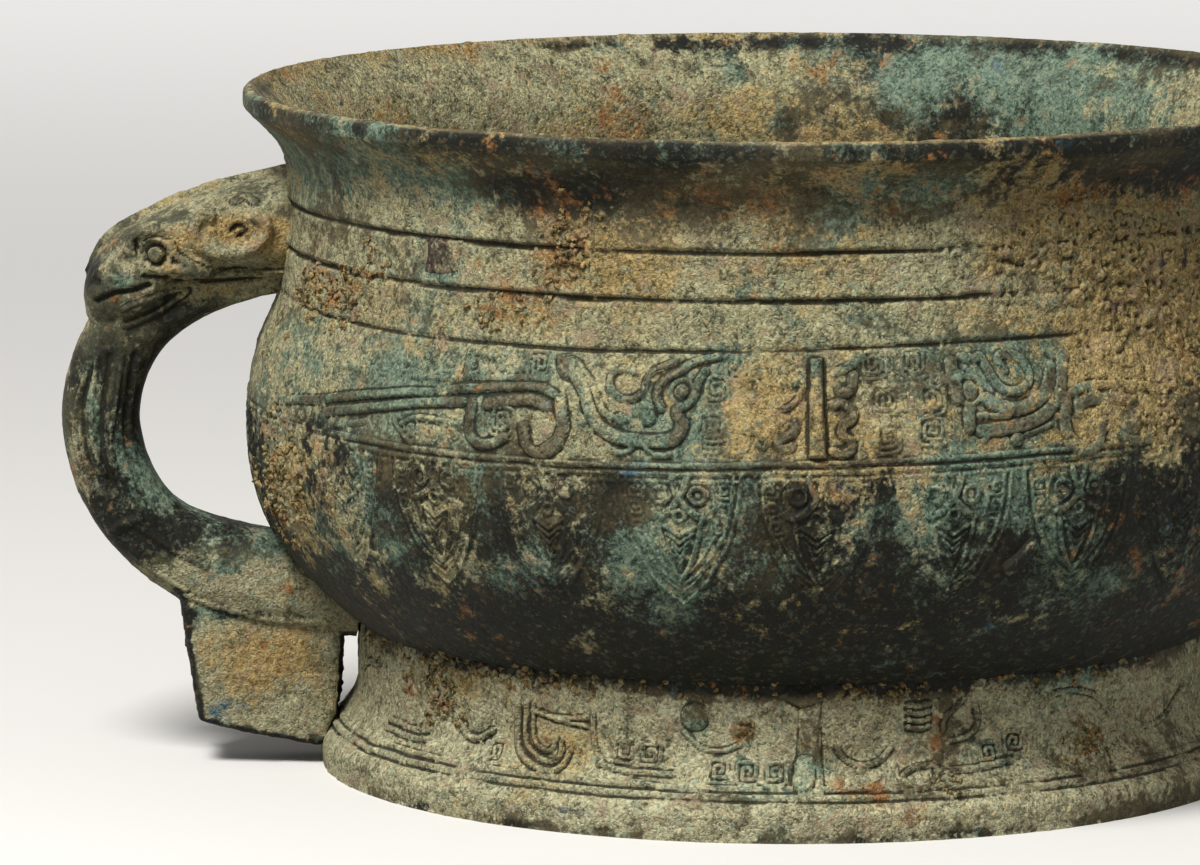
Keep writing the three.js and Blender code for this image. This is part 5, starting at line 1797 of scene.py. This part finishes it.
def bronze(name, tones=None, weights=None):
    """A bronze finish: the patina group fed by the weights that the mesh carries, or plain ones."""
    material = bpy.data.materials.new(name)
    material.use_nodes = True
    tree = material.node_tree
    given = {}
    for layer in LAYERS:
        if weights is None:
            reader = node(tree, "ShaderNodeAttribute", attribute_name=layer.lower())
            given[layer] = reader.outputs["Fac"]
        else:
            given[layer] = weights.get(layer, 0.0)
    for layer, (deep, pale) in (tones or {}).items():
        given.update({f"{layer} Deep": deep, f"{layer} Pale": pale})
    layers = tree.nodes.new("ShaderNodeGroup")
    layers.node_tree = patina
    fill(tree, layers, given)
    bump = node(tree, "ShaderNodeBump", {
        "Strength": BUMP_STRENGTH, "Distance": BUMP_REACH * MM, "Height": layers.outputs["Height"]})
    fill(tree, tree.nodes["Principled BSDF"], {
        "Base Color": layers.outputs["Color"], "Roughness": layers.outputs["Roughness"],
        "Metallic": layers.outputs["Metallic"], "Normal": bump.outputs["Normal"],
        "Specular IOR Level": BRONZE_SPECULAR})
    return material


HANDLE_TONES = {"Base": ((0.03, 0.031, 0.018, 1), (0.15, 0.148, 0.088, 1)),
                "Earth": ((0.135, 0.126, 0.07, 1), (0.5, 0.475, 0.29, 1)),
                "Ochre": ((0.16, 0.105, 0.036, 1), (0.56, 0.4, 0.165, 1))}
# The foot's earth and green are paler than the bowl's: partly its own sage crust, partly painted light
# that lifts it out of the belly's shade.
FOOT_CRUST_AND_LIGHT_TONES = {"Earth": ((0.11, 0.102, 0.056, 1), (0.7, 0.66, 0.41, 1)),
              "Green": ((0.045, 0.095, 0.068, 1), (0.34, 0.47, 0.33, 1))}
SPACER_TONES = {"Dark": ((0.012, 0.008, 0.007, 1), (0.09, 0.062, 0.05, 1))}
materials = {
    "bronze_bowl": bronze("bowl bronze"),
    "bronze_foot": bronze("foot bronze", FOOT_CRUST_AND_LIGHT_TONES),
    "bronze_handle": bronze("handle bronze", HANDLE_TONES),
    "spacer_bronze": bronze("spacer bronze", SPACER_TONES),
    "fired_clay": bronze("fired clay", weights={"Earth": 0.9, "Rust": 0.4, "Ochre": 0.5}),
}
grain_material = bronze("crust grain", weights={"Earth": 0.8, "Ochre": 0.75, "Rust": 0.36})
print("materials:", ", ".join(materials))

# %% [markdown]
# ## Grains of crust
#
# Where iron or gravel caught in the salts, small round lumps stand out of the crust. There are
# hundreds of them, all alike but for size and turn, which is work for Geometry Nodes: points are
# scattered over each skin by the weight painted above, and a low lump is set on each one.

# %% Geometry Nodes tree for the grains
WHOLE_TURN = (6.28, 6.28, 6.28)


def make_grain_tree():
    """Lumps scattered over a surface by its nodule weight."""
    tree = bpy.data.node_groups.new("crust grains", "GeometryNodeTree")
    face = tree.interface
    face.new_socket("Geometry", in_out="INPUT", socket_type="NodeSocketGeometry")
    for name, value in (("Spacing", 0.0009), ("Density", 2.5e6), ("Smallest", 0.2), ("Largest", 0.85),
                        ("Grain Radius", 0.001), ("Bump Scale", 1300.0), ("Bump Reach", 0.0022)):
        made = face.new_socket(name, in_out="INPUT", socket_type="NodeSocketFloat")
        made.default_value = value
    face.new_socket("Seed", in_out="INPUT", socket_type="NodeSocketInt")
    face.new_socket("Material", in_out="INPUT", socket_type="NodeSocketMaterial")
    face.new_socket("Geometry", in_out="OUTPUT", socket_type="NodeSocketGeometry")
    given = node(tree, "NodeGroupInput").outputs
    weight = node(tree, "GeometryNodeInputNamedAttribute", {"Name": "nodule"}, data_type="FLOAT")
    scatter = node(tree, "GeometryNodeDistributePointsOnFaces", distribute_method="POISSON")
    fill(tree, scatter, {
        "Mesh": given["Geometry"], "Distance Min": given["Spacing"], "Density Max": given["Density"],
        "Density Factor": weight.outputs["Attribute"], "Seed": given["Seed"]})
    grain = node(tree, "GeometryNodeMeshIcoSphere", {"Subdivisions": 2, "Radius": given["Grain Radius"]})
    least, most = (node(tree, "ShaderNodeCombineXYZ", dict.fromkeys("XYZ", given[name])).outputs[0]
                   for name in ("Smallest", "Largest"))
    size = node(tree, "FunctionNodeRandomValue", {"Min": least, "Max": most, "Seed": given["Seed"]},
                data_type="FLOAT_VECTOR")
    turn = node(tree, "FunctionNodeRandomValue", {"Max": WHOLE_TURN}, data_type="FLOAT_VECTOR")
    place = node(tree, "GeometryNodeInstanceOnPoints", {
        "Points": scatter.outputs["Points"], "Instance": grain.outputs["Mesh"],
        "Rotation": turn.outputs["Value"], "Scale": size.outputs["Value"]})
    real = node(tree, "GeometryNodeRealizeInstances", {"Geometry": place.outputs["Instances"]})
    here = node(tree, "GeometryNodeInputPosition").outputs[0]
    hills = node(tree, "ShaderNodeTexNoise", {"Vector": here, "Scale": given["Bump Scale"]})
    shift = node(tree, "ShaderNodeVectorMath", {0: hills.outputs["Color"], 1: (0.5, 0.5, 0.5)},
                 operation="SUBTRACT")
    push = node(tree, "ShaderNodeVectorMath", {0: shift.outputs[0], "Scale": given["Bump Reach"]},
                operation="SCALE")
    lumpy = node(tree, "GeometryNodeSetPosition", {
        "Geometry": real.outputs["Geometry"], "Offset": push.outputs[0]})
    smooth = node(tree, "GeometryNodeSetShadeSmooth", {"Geometry": lumpy.outputs["Geometry"]})
    finish = node(tree, "GeometryNodeSetMaterial", {
        "Geometry": smooth.outputs["Geometry"], "Material": given["Material"]})
    node(tree, "NodeGroupOutput", {"Geometry": finish.outputs["Geometry"]})
    return tree


grain_tree = make_grain_tree()
print("grain tree:", len(grain_tree.nodes), "nodes")

# %% Grains on each skin
GRAIN_FACES = 80


def socket_of(tree, name):
    """The identifier of a named input."""
    return next(s.identifier for s in tree.interface.items_tree
                if s.name == name and s.in_out == "INPUT")


def scatter_grains(name, hosts, material, **sizes):
    """One mesh of grains over several skins, which stay as they are."""
    work = bmesh.new()
    for number, host in enumerate(hosts):
        change = host.modifiers.new("grains", "NODES")
        change.node_group = grain_tree
        change[socket_of(grain_tree, "Seed")] = number + 5
        change[socket_of(grain_tree, "Material")] = material
        for key, value in sizes.items():
            change[socket_of(grain_tree, key.replace("_", " ").title())] = value
        evaluated = host.evaluated_get(bpy.context.evaluated_depsgraph_get())
        mesh = bpy.data.meshes.new_from_object(evaluated)
        host.modifiers.remove(change)
        work.from_mesh(mesh)
        bpy.data.meshes.remove(mesh)
    grains = bpy.data.meshes.new(name)
    work.to_mesh(grains)
    work.free()
    grains.materials.append(material)
    print(f"{name}: {len(grains.polygons) // GRAIN_FACES} grains")
    return add(name, grains)

# %% Grains on the bowl, the foot and the handles
bowl_hosts = [piece for piece in bowl_pieces if "front" in piece.name or "lining" in piece.name]
grain_pieces = {
    "bowl": scatter_grains("bowl_grains", bowl_hosts, grain_material, Spacing=0.001),
    "ring_foot": scatter_grains("foot_grains", foot_pieces[:1], grain_material, Spacing=0.0011),
}

# %% [markdown]
# ## Putting it together
#
# Each skin stands for the solid that it covers and takes the finish of that solid's slot. The clay
# cores keep their solids, because nothing shows but their ends.

# %% Skins stand for their solids
def dress(pieces, stands_for, material):
    """Gives the pieces a material, rides them on the one body and hides the solid that they stand for."""
    for piece in pieces:
        piece.data.materials.clear()
        piece.data.materials.append(material)
        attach(piece, "root")
        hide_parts(stands_for)


dress(bowl_pieces, "bowl", materials["bronze_bowl"])
dress(foot_pieces, "ring_foot", materials["bronze_foot"])
for solid_name, piece in handle_pieces.items():
    dress([piece], solid_name, materials["bronze_handle"])
for solid_name, piece in spacer_pieces.items():
    dress([piece], solid_name, materials["spacer_bronze"])
dress([grain_pieces["bowl"]], "bowl", grain_material)
dress([grain_pieces["ring_foot"]], "ring_foot", grain_material)
for name, node_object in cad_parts.items():
    slot = "fired_clay" if "core" in name else "spacer_bronze" if "spacer" in name else None
    slot = slot or {"bowl": "bronze_bowl", "ring_foot": "bronze_foot"}.get(name, "bronze_handle")
    node_object.data.materials.clear()
    node_object.data.materials.append(materials[slot])
shown = bowl_pieces + foot_pieces + list(handle_pieces.values()) + list(spacer_pieces.values())
shown += list(grain_pieces.values())
triangles = sum(len(p.data.loops) - 2 * len(p.data.polygons) for p in shown)
print(len(shown), "pieces,", triangles, "triangles")
